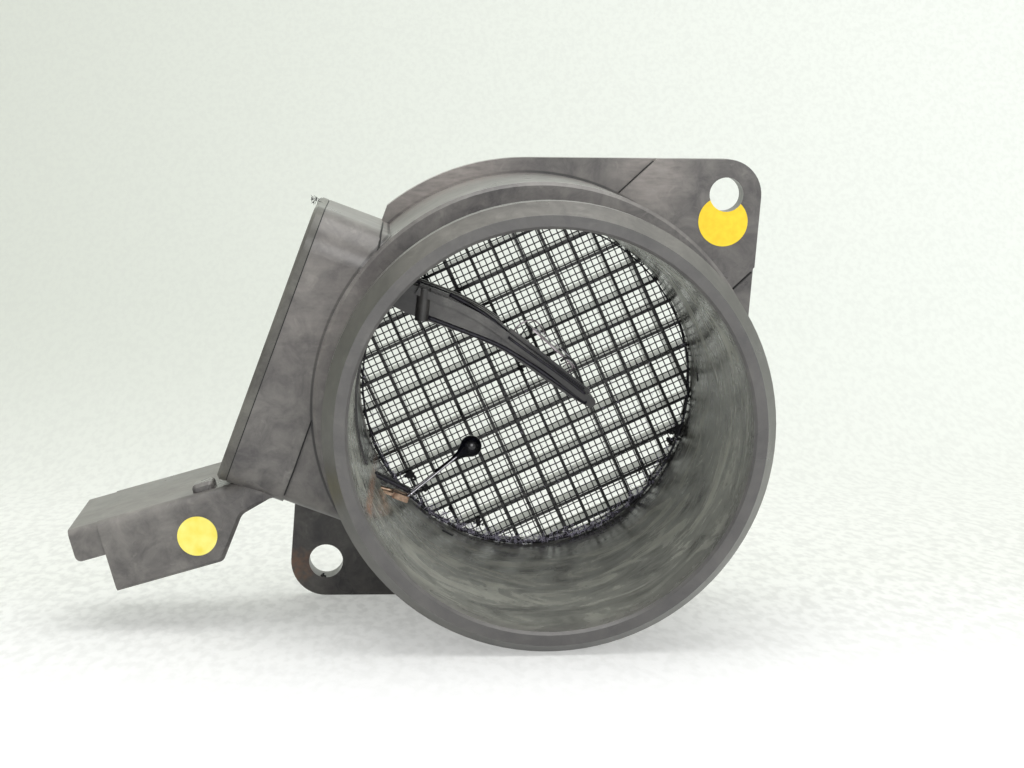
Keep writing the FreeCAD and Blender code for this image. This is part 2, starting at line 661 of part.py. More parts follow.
# Temperature bead: a glossy drop on two wires from two strip terminals
def strip_terminals():
    """Two strips through the wall, each with a thicker joint block at its free end."""
    strips = []
    half = "terminal_thickness / 2"
    for k, side in enumerate((1, -1), start=1):
        centre = f"(bead_tip_depth + {side} * lead_spacing / 2)"
        depths = f"{centre} + terminal_width / 2", f"{centre} - terminal_width / 2"
        strip = block(f"terminal_strip_{k}",
                      rectangle("-terminal_root", "-terminal_end", f"-(terminal_level + {half})",
                                f"-(terminal_level - {half})"), *depths, "lean")
        joint = block(f"terminal_joint_{k}",
                      rectangle("-(terminal_end + terminal_block)", "-terminal_end",
                                f"-(terminal_level + {half} * 2)", f"-(terminal_level - {half} * 2)"),
                      *depths, "lean")
        strips.append(fused(f"lead_terminal_{k}", [strip, joint]))
    return strips


def lean_point(across, up):
    """A point of the leaning frame in the document's own frame."""
    turn = FreeCAD.Rotation(FreeCAD.Vector(0, 1, 0), size("lean"))
    return turn.multVec(FreeCAD.Vector(across, 0, up))


def bead_and_leads():
    centre = FreeCAD.Vector(-size("bead_tip_along"), -size("bead_tip_depth"), -size("bead_tip_drop"))
    turn = FreeCAD.Rotation(FreeCAD.Vector(0, 1, 0), -size("lead_lean"))
    along = turn.multVec(FreeCAD.Vector(1, 0, 0))
    tip, neck, thin = size("bead_tip_radius"), size("bead_neck"), size("bead_neck_radius")
    outline = [FreeCAD.Vector(-neck, 0, 0), FreeCAD.Vector(-neck, thin, 0)]
    for degrees in (120, 80, 40, 0):
        around = math.radians(degrees)
        outline.append(FreeCAD.Vector(tip * math.cos(around), tip * math.sin(around), 0))
    drop = Part.Face(Part.makePolygon(outline + outline[:1]))
    bead = DOCUMENT.addObject("Part::Feature", "bead_drop")
    bead.Shape = drop.revolve(FreeCAD.Vector(), FreeCAD.Vector(1, 0, 0), 360)
    bead.Placement = FreeCAD.Placement(centre, turn)

    joint = lean_point(-size("terminal_end + lead_radius"), -size("terminal_level - terminal_thickness"))
    leads = []
    for k, side in enumerate((1, -1), start=1):
        start = joint + FreeCAD.Vector(0, -size("bead_tip_depth") - side * size("lead_spacing") / 2, 0)
        end = centre - along * (neck - 1.5) + FreeCAD.Vector(0, -side * size("lead_joint") / 2, 0)
        wire = Part.makeCylinder(size("lead_radius"), (end - start).Length, start, end - start)
        lead = DOCUMENT.addObject("Part::Feature", f"lead_wire_{k}")
        lead.Shape = wire
        leads.append(lead)
    return bead, leads


# Screens: two crossed families of bars inside a ring
def ring_body(name, outer, inner, front, back):
    body = new_body(name)
    sketch = add_circle(new_sketch(body, "XZ_Plane", back), "0", "0", outer)
    add_circle(sketch, "0", "0", inner)
    pad(body, sketch, f"({front}) - ({back})")
    return body


def lattice(name, wall, pitch, shift, front, back):
    """A ring with crossed bars: a disc whose square cells, clipped by the ring, are left open."""
    outer = size("seat_radius - fit_gap")
    inner = outer - size("grid_rim")
    step, gap, down = size(pitch), size(f"{pitch} - {wall}"), size(shift)
    axis = FreeCAD.Vector(0, 1, 0)
    level = FreeCAD.Vector(0, -size(back), 0)
    clear = Part.Face(Part.Wire(Part.makeCircle(inner, level, axis)))
    reach = int(inner / step) + 2
    cells = []
    for across in range(-reach, reach):
        for up in range(-reach, reach):
            corner = FreeCAD.Vector(across * step + (step - gap) / 2, 0, up * step + (step - gap) / 2 - down)
            nearest = math.hypot(max(abs(corner.x + gap / 2) - gap / 2, 0),
                                 max(abs(corner.z + gap / 2) - gap / 2, 0))
            farthest = math.hypot(abs(corner.x + gap / 2) + gap / 2, abs(corner.z + gap / 2) + gap / 2)
            if nearest > inner - size(wall):
                continue
            ends = [corner + level + FreeCAD.Vector(x, 0, z)
                    for x, z in ((0, 0), (gap, 0), (gap, gap), (0, gap), (0, 0))]
            wire = Part.makePolygon(ends)
            if farthest > inner:
                clipped = Part.Face(wire).common(clear).Faces
                outlines = [face.OuterWire.OrderedVertexes for face in clipped if face.Area > size(wall)]
                cells += [Part.makePolygon([v.Point for v in corners + corners[:1]])
                          for corners in outlines]
            else:
                cells.append(wire)
    rim = Part.Wire(Part.makeCircle(outer, level, axis))
    flat = Part.makeFace([rim] + cells, "Part::FaceMakerBullseye")
    item = DOCUMENT.addObject("Part::Feature", name)
    item.Shape = flat.extrude(FreeCAD.Vector(0, -size(f"({front}) - ({back})"), 0))
    return turned(item, "-grid_turn")


def screens():
    behind = "ring_height"
    middle = "(ring_height + grid_height)"
    grid = lattice("screen_grid", "grid_wall", "grid_pitch", "grid_shift", middle, behind)
    wires = lattice("wire_screen", "(screen_pitch - screen_gap)", "screen_pitch", "grid_shift",
                    f"{middle} + screen_thickness", middle)
    ring = ring_body("screen_ring", "seat_radius - fit_gap", "ring_bore", behind, "0")
    return [grid, wires, ring]


def circuit():
    """Metal plate on the box floor, ceramic board on it, and four parts on the board."""
    plate_face = f"({BOX_FLOOR} + plate_thickness)"
    board_face = f"({plate_face} + board_thickness)"
    plate = block("base_plate", rectangle(f"-{plate_face}", f"-{BOX_FLOOR}", "-plate_bottom", "plate_top"),
                  "plate_front", "plate_back", "lean")
    board = block("circuit_board",
                  rectangle(f"-{board_face}", f"-{plate_face}", "-(plate_bottom - board_margin)",
                            "plate_top - board_margin"),
                  "plate_front - board_margin", "plate_back + board_margin", "lean")
    centre = "(plate_front + plate_back) / 2"
    parts = [("control_chip", "chip_side", "chip_side", "chip_height", "0", "0"),
             ("voltage_regulator", "regulator_side", "regulator_side", "chip_height",
              "(-regulator_drop)", "regulator_shift"),
             ("capacitor_1", "capacitor_length", "capacitor_width", "capacitor_height",
              "capacitor_rise", "capacitor_shift"),
             ("capacitor_2", "capacitor_length", "capacitor_width", "capacitor_height",
              "capacitor_rise", "(-capacitor_shift)")]
    made = [plate, board]
    for name, tall, wide, high, up, side in parts:
        made.append(block(name, rectangle(f"-({board_face} + {high})", f"-{board_face}",
                                          f"{up} - {tall} / 2", f"{up} + {tall} / 2"),
                          f"{centre} + {side} + {wide} / 2", f"{centre} + {side} - {wide} / 2", "lean"))
    return made


def cover():
    """The cover with its bevelled edge and the rim that drops into the box."""
    inner = "(box_outer + bond_thickness)"
    outer = f"({inner} + cover_thickness)"
    plate = box_shape("cover_plate", "0", outer, inner)

    def outer_edge(edge, middle):
        return near(middle.x, f"-{outer}")
    round_edges(plate, plate.Tip, "cover_bevel", outer_edge, "PartDesign::Chamfer")
    gap = "(box_wall + fit_gap)"
    rim = box_shape("cover_rim_outside", gap, inner, "box_outer - cover_lip")
    rim_hole = box_shape("cover_rim_inside", f"({gap} + cover_lip_wall)", inner, "box_outer - cover_lip - 1")
    return fused("box_cover", [plate, cut("cover_rim", rim, rim_hole)])


def cover_seal():
    outer = "(box_outer + bond_thickness)"
    whole = box_shape("bond_outside", "bond_inset", outer, "box_outer")
    hole = box_shape("bond_inside", "(box_wall - bond_overlap)", f"{outer} + 1", "box_outer - 1")
    return cut("cover_seal", whole, hole)


def disc_on_face(name, radius, depth, across, up, lean):
    body = new_body(name)
    sketch = add_circle(new_sketch(body, "XZ_Plane", depth), across, up, radius)
    pad(body, sketch, "sticker_thickness")
    return turned(body, lean)


def stickers(holes):
    on_pad = disc_on_face("flange_disc", "flange_sticker_radius", "flange_thickness",
                          f"{BOLT_REACH} - flange_sticker_inset",
                          "-flange_sticker_drop", "-bolt_lean")
    flange_sticker = cut("sticker_flange", on_pad, holes)
    socket_sticker = disc_on_face("sticker_socket", "socket_sticker_radius", "socket_front",
                                  "-(socket_heel + socket_sticker_along)", "-socket_sticker_drop",
                                  "-socket_lean")
    return [flange_sticker, socket_sticker]


def flange_seal():
    half = "seal_section / 2"
    inner, outer = f"seal_groove_radius - {half}", f"seal_groove_radius + {half}"
    low, high = "-seal_groove_depth", "-0.05"
    return turned_solid("flange_seal", [(low, inner), (low, outer), (high, outer), (high, inner)])


def seal_groove():
    half = "seal_groove_width / 2"
    inner, outer = f"seal_groove_radius - {half}", f"seal_groove_radius + {half}"
    return turned_solid("seal_groove", [("-seal_groove_depth", inner), ("-seal_groove_depth", outer),
                                        ("1", outer), ("1", inner)])


def housing(pins, terminals, holes):
    """Tube, flange, box and socket as one moulding, with its cavities and the inserts' places."""
    box = box_shape("box", "0", "box_outer", "box_inner")
    neck = box_shape("box_neck", "neck_step", "box_inner + 0.5", "spigot_radius * 0.62")
    solid = fused("housing_solid", [tube_outside(), flange(), box, neck] + socket_outside())
    cavity = box_shape("box_cavity", "box_wall", "box_outer + 5", BOX_FLOOR)
    window = carrier_block("carrier_window", "fit_gap", f"{BOX_FLOOR} + 0.5")
    tools = fused("housing_hollows", [bore(), cavity, socket_cavity(), window, holes, seal_groove()])
    inserts = fused("housing_inserts", pins + terminals)
    return cut("housing", cut("housing_hollow", solid, tools), inserts)


def finish(item, name):
    item.Label = name
    shape = item.Shape
    if shape.isNull() or not shape.isValid():
        raise RuntimeError(f"{name} has no valid shape")
    print(f"{name:20s} solids {len(shape.Solids)}  volume {shape.Volume:10.2f} mm3")
    return item


def build():
    pins = connector_pins()
    terminals = strip_terminals()
    holes = bolt_holes()
    arm = sensor_arm()
    bead_shape, wires = bead_and_leads()
    bead = cut("temperature_bead", bead_shape, fused("bead_wires", wires))
    leads = [cut(f"bead_lead_{k + 1}", wire, terminals[k]) for k, wire in enumerate(wires)]
    pieces = [housing(pins, terminals, holes), cover(), cover_seal(), arm, bead, flange_seal()]
    pieces += pins + terminals + leads + heated_film(arm) + screens() + circuit() + stickers(holes)
    DOCUMENT.recompute()
    for item in DOCUMENT.Objects:
        if "Invalid" in item.State or "Error" in item.State:
            raise RuntimeError(f"{item.Name} failed: {item.State}")
    os.makedirs("parts", exist_ok=True)
    for item in pieces:
        name = item.Name
        finish(item, name).Shape.exportStep(f"parts/{name}.step")


build()
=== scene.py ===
# %% [markdown]
# # A mass airflow sensor
# The part is a moulded tube that sits between an air filter box and an engine's intake hose. The
# solids come packed from the construction source. Here they get their real finishes, and the
# pieces that are too fine for a solid, such as the woven screen, are made as meshes.
# Everything is in metres, in the frame of the solids: Y runs along the bore, away from the hose.

# %% Load the solids
import bpy
import bmesh
import math
import random
from mathutils import Matrix, Vector


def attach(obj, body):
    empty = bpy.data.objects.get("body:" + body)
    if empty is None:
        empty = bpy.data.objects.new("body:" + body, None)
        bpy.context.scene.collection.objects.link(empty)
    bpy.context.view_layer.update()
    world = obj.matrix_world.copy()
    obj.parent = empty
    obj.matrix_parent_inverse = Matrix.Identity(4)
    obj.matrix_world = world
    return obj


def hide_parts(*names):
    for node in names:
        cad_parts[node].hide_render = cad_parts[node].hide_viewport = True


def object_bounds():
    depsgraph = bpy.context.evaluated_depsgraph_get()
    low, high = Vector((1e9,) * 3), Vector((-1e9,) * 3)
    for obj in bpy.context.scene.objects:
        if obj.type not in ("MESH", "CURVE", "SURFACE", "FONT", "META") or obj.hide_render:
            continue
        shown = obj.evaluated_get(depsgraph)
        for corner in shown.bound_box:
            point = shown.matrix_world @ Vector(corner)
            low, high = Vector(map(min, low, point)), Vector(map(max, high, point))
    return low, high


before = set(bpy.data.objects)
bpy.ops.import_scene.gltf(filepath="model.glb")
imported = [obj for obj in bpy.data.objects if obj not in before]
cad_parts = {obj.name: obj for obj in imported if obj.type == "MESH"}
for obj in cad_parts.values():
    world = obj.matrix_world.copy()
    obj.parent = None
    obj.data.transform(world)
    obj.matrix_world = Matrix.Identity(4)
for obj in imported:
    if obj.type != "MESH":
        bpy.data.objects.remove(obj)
solids_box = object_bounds()
MM = 0.001
corners = [round(v / MM, 1) for corner in solids_box for v in corner]
print("solids:", len(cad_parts), "box corners in mm:", corners)

# %% [markdown]
# Colours are written as they look on a screen. The renderer works with linear light, so one
# function turns a hex colour into linear values. One more function adds a node to a material and
# links or sets its inputs, which keeps each finish readable as a list of what feeds what.

# %% Colour and node helpers
def linear(hex_colour, alpha=1.0):
    channels = [int(hex_colour[k:k + 2], 16) / 255 for k in (1, 3, 5)]
    return [c / 12.92 if c <= 0.04045 else ((c + 0.055) / 1.055) ** 2.4 for c in channels] + [alpha]


def add(tree, kind, inputs=None, **settings):
    """A node with its settings; an input is given a value or the socket that feeds it."""
    node = tree.nodes.new(kind)
    for name, value in settings.items():
        setattr(node, name, value)
    for key, value in (inputs or {}).items():
        if isinstance(value, bpy.types.NodeSocket):
            tree.links.new(value, node.inputs[key])
        else:
            node.inputs[key].default_value = value
    return node


def new_finish(name, **constants):
    """A material with one surface shader, whose fixed numbers sit on the shader's own sockets."""
    material = bpy.data.materials.new(name)
    material.use_nodes = True
    tree = material.node_tree
    tree.nodes.clear()
    surface = add(tree, "ShaderNodeBsdfPrincipled")
    for socket, value in constants.items():
        surface.inputs[socket.replace("_", " ")].default_value = value
    add(tree, "ShaderNodeOutputMaterial", {"Surface": surface.outputs[0]})
    place = add(tree, "ShaderNodeTexCoord").outputs["Object"]
    return material, tree, surface, place


# %% [markdown]
# The tube, box and socket are one moulding in glass-filled nylon. Moulded this way it is dark grey
# and satin, with a fine grain from the tool. After years under a bonnet it carries a greenish film
# of dust, mostly on what faces up, with small blotches and paler scuffs. The same recipe serves
# every nylon piece, with its own base colour and amount of dust. On the screen's grid the colour
# on what faces up is a near-white painted highlight instead, for the cell walls lit through the
# cells.

# %% Moulded nylon
STAIN_SIZE = 16 * MM
BLOTCH_SIZE = 5 * MM
SCUFF_SIZE = 2.6 * MM
GRAIN_SIZE = 0.35 * MM
GRAIN_HEIGHT = 0.012 * MM


def moulded_nylon(name, base, dust_and_lit_colour, top_dust_and_light, rough, scuffs=0.22, blotchy=0.31, patchy=0.22):
    material, tree, surface, place = new_finish(name, IOR=1.53)
    stains = add(tree, "ShaderNodeTexNoise", {"Vector": place, "Scale": 1 / STAIN_SIZE,
                                              "Detail": 3.0, "Roughness": 0.5, "Distortion": 0.4})
    marks = add(tree, "ShaderNodeTexNoise", {"Vector": place, "Scale": 1 / SCUFF_SIZE,
                                             "Detail": 4.0, "Distortion": 0.8})
    blotches = add(tree, "ShaderNodeTexNoise", {"Vector": place, "Scale": 1 / BLOTCH_SIZE,
                                                "Detail": 7.0, "Roughness": 0.7,
                                                "Distortion": 0.5})
    normal = add(tree, "ShaderNodeNewGeometry").outputs["Normal"]
    facing = add(tree, "ShaderNodeSeparateXYZ", {"Vector": normal})
    # What faces up takes the second colour: dust on most pieces, a painted highlight on the grid.
    upward = add(tree, "ShaderNodeMapRange", {"Value": facing.outputs["Z"], "From Min": 0.0,
                                              "From Max": 1.0, "To Min": 0.0, "To Max": top_dust_and_light})
    patches = add(tree, "ShaderNodeMapRange", {"Value": stains.outputs["Fac"], "From Min": 0.35,
                                               "From Max": 0.7, "To Min": 0.0, "To Max": patchy})
    rubbed = add(tree, "ShaderNodeMapRange", {"Value": marks.outputs["Fac"], "From Min": 0.6,
                                              "From Max": 0.78, "To Min": 0.0, "To Max": scuffs})
    worn = add(tree, "ShaderNodeMapRange", {"Value": blotches.outputs["Fac"], "From Min": 0.36,
                                            "From Max": 0.66, "To Min": 0.0, "To Max": blotchy})
    spread = add(tree, "ShaderNodeMath", {0: upward.outputs[0], 1: patches.outputs[0]},
                 operation="ADD")
    film = add(tree, "ShaderNodeMath", {0: spread.outputs[0], 1: worn.outputs[0]}, operation="ADD")
    cover = add(tree, "ShaderNodeMath", {0: film.outputs[0], 1: rubbed.outputs[0]},
                operation="ADD", use_clamp=True)
    colour = add(tree, "ShaderNodeMix", {"Factor": cover.outputs[0], "A": linear(base),
                                         "B": linear(dust_and_lit_colour)}, data_type="RGBA")
    tree.links.new(colour.outputs["Result"], surface.inputs["Base Color"])
    shine = add(tree, "ShaderNodeMapRange", {"Value": stains.outputs["Fac"], "From Min": 0.3,
                                             "From Max": 0.7, "To Min": rough - 0.06,
                                             "To Max": rough + 0.10})
    tree.links.new(shine.outputs[0], surface.inputs["Roughness"])
    grain = add(tree, "ShaderNodeTexNoise", {"Vector": place, "Scale": 1 / GRAIN_SIZE,
                                             "Detail": 2.0})
    bump = add(tree, "ShaderNodeBump", {"Height": grain.outputs["Fac"], "Strength": 0.15,
                                        "Distance": GRAIN_HEIGHT})
    tree.links.new(bump.outputs[0], surface.inputs["Normal"])
    return material, tree, surface, place, colour


cover_finish = moulded_nylon("glass_filled_nylon_cover", "#3f3c39", "#8b8a81", top_dust_and_light=0.26,
                             rough=0.34)[0]
# On the grid the near-white colour on what faces up is a painted highlight for the cell walls lit
# through the cells by the pale backdrop.
grid_finish = moulded_nylon("glass_filled_nylon_grid", "#0b0b0c", "#f2f1ea", top_dust_and_light=1.0, rough=0.16,
                            scuffs=0.0, blotchy=0.0, patchy=0.012)[0]
print("plain nylon finishes ready")

# %% [markdown]
# The sensing arm is the same nylon, but it is darker towards its tip, where the air is measured,
# and painted shade darkens it round its root at the wall. Both ends fade into the lighter middle
# along X.

# %% The arm, darker at the tip, with painted shade at the root
TIP_FROM, TIP_TO = -9 * MM, 1 * MM
ROOT_FROM, ROOT_TO = -17 * MM, -23 * MM

arm_finish, tree, surface, place, skin = moulded_nylon("glass_filled_nylon_arm", "#434142",
                                                       "#96948f", top_dust_and_light=0.10, rough=0.30)
parts = add(tree, "ShaderNodeSeparateXYZ", {"Vector": place})
tip = add(tree, "ShaderNodeMapRange", {"Value": parts.outputs["X"], "From Min": TIP_FROM,
                                       "From Max": TIP_TO, "To Min": 0.0, "To Max": 0.85})
# Painted shade: the root, where the arm meets the wall in a shadowed notch, is darkened.
root = add(tree, "ShaderNodeMapRange", {"Value": parts.outputs["X"], "From Min": ROOT_TO,
                                        "From Max": ROOT_FROM, "To Min": 0.75, "To Max": 0.0})
ends = add(tree, "ShaderNodeMath", {0: tip.outputs[0], 1: root.outputs[0]}, operation="MAXIMUM")
dark_tip_and_root_shade = add(tree, "ShaderNodeMix", {"Factor": ends.outputs[0], "A": skin.outputs["Result"],
                                     "B": linear("#19181a")}, data_type="RGBA")
tree.links.new(dark_tip_and_root_shade.outputs["Result"], surface.inputs["Base Color"])
print("arm finish ready")

# %% [markdown]
# The inside of the tube is far dustier than the outside: years of air have left a mottled, streaky
# grey-green coat. The bore is told apart from the rest by its distance from the axis, and its
# streaks run round the wall, so their pattern is read in angle and depth. The coat darkens in
# crumbly patches towards the screen, it is darker at the hose end, and a brown run stains the wall
# beside the copper strips.

# %% The dusty bore
BORE_WALL, BORE_OUTSIDE = 35.25 * MM, 35.45 * MM
STREAK_SIZE = 7.5 * MM
STREAK_ARC = 17 * MM
STREAK_DEPTH = 0.9
CRUMB_SIZE = 1.9 * MM
DARK_NEAR_SCREEN_FROM, DARK_NEAR_SCREEN_TO = -24 * MM, -10 * MM
MOUTH_FROM, MOUTH_TO = -58 * MM, -72 * MM
RUN_PLACE = (-31.8 * MM, 0, -14.7 * MM)
RUN_FULL, RUN_FADE = 0.5 * MM, 1.5 * MM
RUN_END, RUN_START = -69 * MM, -66 * MM

housing_finish, tree, surface, place, skin = moulded_nylon("glass_filled_nylon_housing", "#403d3e",
                                                           "#9b9791", top_dust_and_light=0.26, rough=0.32)
parts = add(tree, "ShaderNodeSeparateXYZ", {"Vector": place})
flat = add(tree, "ShaderNodeCombineXYZ", {"X": parts.outputs["X"], "Z": parts.outputs["Z"]})
radius = add(tree, "ShaderNodeVectorMath", {0: flat.outputs[0]}, operation="LENGTH")
inside = add(tree, "ShaderNodeMapRange", {"Value": radius.outputs["Value"],
                                          "From Min": BORE_WALL, "From Max": BORE_OUTSIDE,
                                          "To Min": 1.0, "To Max": 0.0})
angle = add(tree, "ShaderNodeMath", {0: parts.outputs["Z"], 1: parts.outputs["X"]},
            operation="ARCTAN2")
turned = add(tree, "ShaderNodeMath", {0: angle.outputs[0], 1: STREAK_ARC}, operation="MULTIPLY")
along = add(tree, "ShaderNodeMath", {0: parts.outputs["Y"], 1: STREAK_DEPTH},
            operation="MULTIPLY")
wall = add(tree, "ShaderNodeCombineXYZ", {"X": turned.outputs[0], "Y": along.outputs[0],
                                          "Z": radius.outputs["Value"]})
streaks = add(tree, "ShaderNodeTexNoise", {"Vector": wall.outputs[0], "Scale": 1 / STREAK_SIZE,
                                           "Detail": 8.0, "Roughness": 0.64, "Distortion": 0.9})
coat = add(tree, "ShaderNodeValToRGB", {"Fac": streaks.outputs["Fac"]})
ramp = coat.color_ramp.elements
ramp[0].position, ramp[0].color = 0.36, linear("#55544f")
ramp[1].position, ramp[1].color = 0.64, linear("#c8c9bd")
ramp.new(0.5).color = linear("#92928a")
# The coat darkens in crumbly patches towards the screen.
near_screen = add(tree, "ShaderNodeMapRange", {"Value": parts.outputs["Y"], "From Min": DARK_NEAR_SCREEN_FROM,
                                              "From Max": DARK_NEAR_SCREEN_TO, "To Min": 0.0, "To Max": 1.0})
crumbs = add(tree, "ShaderNodeTexNoise", {"Vector": wall.outputs[0], "Scale": 1 / CRUMB_SIZE,
                                          "Detail": 7.0, "Roughness": 0.75})
near_screen_share = add(tree, "ShaderNodeMath", {0: near_screen.outputs[0], 1: crumbs.outputs["Fac"]},
                 operation="MULTIPLY")
darkened_near_screen = add(tree, "ShaderNodeMix", {"Factor": near_screen_share.outputs[0], "A": coat.outputs["Color"],
                                    "B": linear("#34323a")}, data_type="RGBA")
bare = add(tree, "ShaderNodeMapRange", {"Value": crumbs.outputs["Fac"], "From Min": 0.5,
                                        "From Max": 0.62, "To Min": 0.0, "To Max": 0.5})
crumbly = add(tree, "ShaderNodeMix", {"Factor": bare.outputs[0], "A": darkened_near_screen.outputs["Result"],
                                      "B": linear("#53534b")}, data_type="RGBA")
# The coat is darker towards the hose end.
mouth = add(tree, "ShaderNodeMapRange", {"Value": parts.outputs["Y"], "From Min": MOUTH_TO,
                                         "From Max": MOUTH_FROM, "To Min": 0.5, "To Max": 0.0})
dimmed = add(tree, "ShaderNodeMix", {"Factor": mouth.outputs[0], "A": crumbly.outputs["Result"],
                                     "B": linear("#54544c")}, data_type="RGBA")
strip_side = add(tree, "ShaderNodeVectorMath", {0: flat.outputs[0], 1: RUN_PLACE},
                 operation="DISTANCE")
strip_near = add(tree, "ShaderNodeMapRange", {"Value": strip_side.outputs["Value"],
                                              "From Min": RUN_FULL, "From Max": RUN_FADE,
                                              "To Min": 1.5, "To Max": 0.0})
run_length = add(tree, "ShaderNodeMapRange", {"Value": parts.outputs["Y"], "From Min": RUN_END,
                                              "From Max": RUN_START})
run_share = add(tree, "ShaderNodeMath", {0: strip_near.outputs[0], 1: run_length.outputs[0]},
                operation="MULTIPLY")
run_mask = add(tree, "ShaderNodeMath", {0: run_share.outputs[0], 1: crumbs.outputs["Fac"]},
               operation="MULTIPLY", use_clamp=True)
stained = add(tree, "ShaderNodeMix", {"Factor": run_mask.outputs[0], "A": dimmed.outputs["Result"],
                                      "B": linear("#a87450")}, data_type="RGBA")
print("bore coat mixed")

# %% [markdown]
# The hose covered the end of the tube, so its ring is cleaner and darker than the rest. Painted
# shade darkens the faces of the ring that do not point up, and the bead's slope is painted darkest,
# in olive; only the ring's top keeps the lighter colour, partly dust and partly painted light.
# A painted shadow runs in the gap round the collar. Paler brushed patches lie beside the upper bolt
# hole, on the flange between the pads and on the front of the box, and a bolt left rust by the
# lower hole.

# %% Hose end, painted shade and shadow, pale patches and rust
HOSED_FROM, HOSED_TO = -46.9 * MM, -47.2 * MM
BEAD_TOP, BEAD_OUTSIDE = 40.3 * MM, 40.6 * MM
LAND_EDGE, SLOPE_START = 37.75 * MM, 37.9 * MM
CORNER_RADIUS = 42.55 * MM
CORNER_FULL, CORNER_FADE = 0.12 * MM, 0.34 * MM
BRUSH_SIZE = 1.1 * MM
PALE_BRUSHED_SPOTS = (((26 * MM, -5.4 * MM, 42 * MM), 10 * MM, 0.5),
              ((-16 * MM, -3.9 * MM, 42 * MM), 20 * MM, 0.6),
              ((-40 * MM, -45.6 * MM, 20 * MM), 20 * MM, 0.18))
RUST_PLACE = (-47.2 * MM, -5.4 * MM, -38.5 * MM)
RUST_SIZE = 1.6 * MM
RUST_FULL, RUST_FADE = 1.0 * MM, 6.5 * MM

hosed = add(tree, "ShaderNodeMapRange", {"Value": parts.outputs["Y"], "From Min": HOSED_TO,
                                         "From Max": HOSED_FROM, "To Min": 0.66, "To Max": 0.0})
outward = add(tree, "ShaderNodeNewGeometry").outputs["Normal"]
aim = add(tree, "ShaderNodeSeparateXYZ", {"Vector": outward})
# Painted shade: faces of the ring that do not point up keep its darker colour; its top keeps the
# lighter colour, partly dust and partly painted light.
shaded = add(tree, "ShaderNodeMapRange", {"Value": aim.outputs["Z"], "From Min": 0.55,
                                          "From Max": 0.9, "To Min": 1.0, "To Max": 0.2})
clean_and_shaded = add(tree, "ShaderNodeMath", {0: hosed.outputs[0], 1: shaded.outputs[0]},
            operation="MULTIPLY")
near_axis = add(tree, "ShaderNodeMapRange", {"Value": radius.outputs["Value"],
                                             "From Min": BEAD_TOP, "From Max": BEAD_OUTSIDE,
                                             "To Min": 1.0, "To Max": 0.0})
clean_and_shaded_ring = add(tree, "ShaderNodeMath", {0: clean_and_shaded.outputs[0], 1: near_axis.outputs[0]},
                 operation="MULTIPLY")
on_slope = add(tree, "ShaderNodeMapRange", {"Value": radius.outputs["Value"],
                                            "From Min": LAND_EDGE, "From Max": SLOPE_START})
# Painted shade: the bead's slope is painted olive dark.
ring_colour = add(tree, "ShaderNodeMix", {"Factor": on_slope.outputs[0], "A": linear("#4a4949"),
                                          "B": linear("#2d2d24")}, data_type="RGBA")
ringed = add(tree, "ShaderNodeMix", {"Factor": clean_and_shaded_ring.outputs[0], "A": skin.outputs["Result"],
                                     "B": ring_colour.outputs["Result"]}, data_type="RGBA")
# Painted shadow: a thin dark line round the collar stands for the shadow in the gap where the box
# and flange meet the collar.
off_corner = add(tree, "ShaderNodeMath", {0: radius.outputs["Value"], 1: CORNER_RADIUS},
                 operation="SUBTRACT")
from_corner = add(tree, "ShaderNodeMath", {0: off_corner.outputs[0]}, operation="ABSOLUTE")
corner = add(tree, "ShaderNodeMapRange", {"Value": from_corner.outputs[0],
                                          "From Min": CORNER_FULL, "From Max": CORNER_FADE,
                                          "To Min": 0.85, "To Max": 0.0})
collar_gap_shadowed = add(tree, "ShaderNodeMix", {"Factor": corner.outputs[0], "A": ringed.outputs["Result"],
                                       "B": linear("#1d1c1b")}, data_type="RGBA")
brush_place = add(tree, "ShaderNodeVectorMath", {0: place, 1: (0.3, 1.0, 1.3)},
                  operation="MULTIPLY")
brush = add(tree, "ShaderNodeTexNoise", {"Vector": brush_place.outputs[0],
                                         "Scale": 1 / BRUSH_SIZE, "Detail": 4.0})
brushed = collar_gap_shadowed
# Paler brushed patches, strongest near each given centre.
for centre, reach, strength in PALE_BRUSHED_SPOTS:
    away = add(tree, "ShaderNodeVectorMath", {0: place, 1: centre}, operation="DISTANCE")
    close = add(tree, "ShaderNodeMapRange", {"Value": away.outputs["Value"],
                                             "From Min": 0.3 * reach, "From Max": reach,
                                             "To Min": strength, "To Max": 0.0})
    share = add(tree, "ShaderNodeMath", {0: close.outputs[0], 1: brush.outputs["Fac"]},
                operation="MULTIPLY")
    brushed = add(tree, "ShaderNodeMix", {"Factor": share.outputs[0],
                                          "A": brushed.outputs["Result"],
                                          "B": linear("#c9bfb8")}, data_type="RGBA")
bored = add(tree, "ShaderNodeMix", {"Factor": inside.outputs[0], "A": brushed.outputs["Result"],
                                    "B": stained.outputs["Result"]}, data_type="RGBA")
rust_away = add(tree, "ShaderNodeVectorMath", {0: place, 1: RUST_PLACE}, operation="DISTANCE")
rust_edge = add(tree, "ShaderNodeTexNoise", {"Vector": place, "Scale": 1 / RUST_SIZE,
                                             "Detail": 5.0})
rust_near = add(tree, "ShaderNodeMapRange", {"Value": rust_away.outputs["Value"],
                                             "From Min": RUST_FULL, "From Max": RUST_FADE,
                                             "To Min": 1.0, "To Max": 0.0})
rust_mask = add(tree, "ShaderNodeMath", {0: rust_near.outputs[0], 1: rust_edge.outputs["Fac"]},
                operation="MULTIPLY")
rust_cut = add(tree, "ShaderNodeMapRange", {"Value": rust_mask.outputs[0], "From Min": 0.24,
                                            "From Max": 0.5, "To Min": 0.0, "To Max": 0.7})
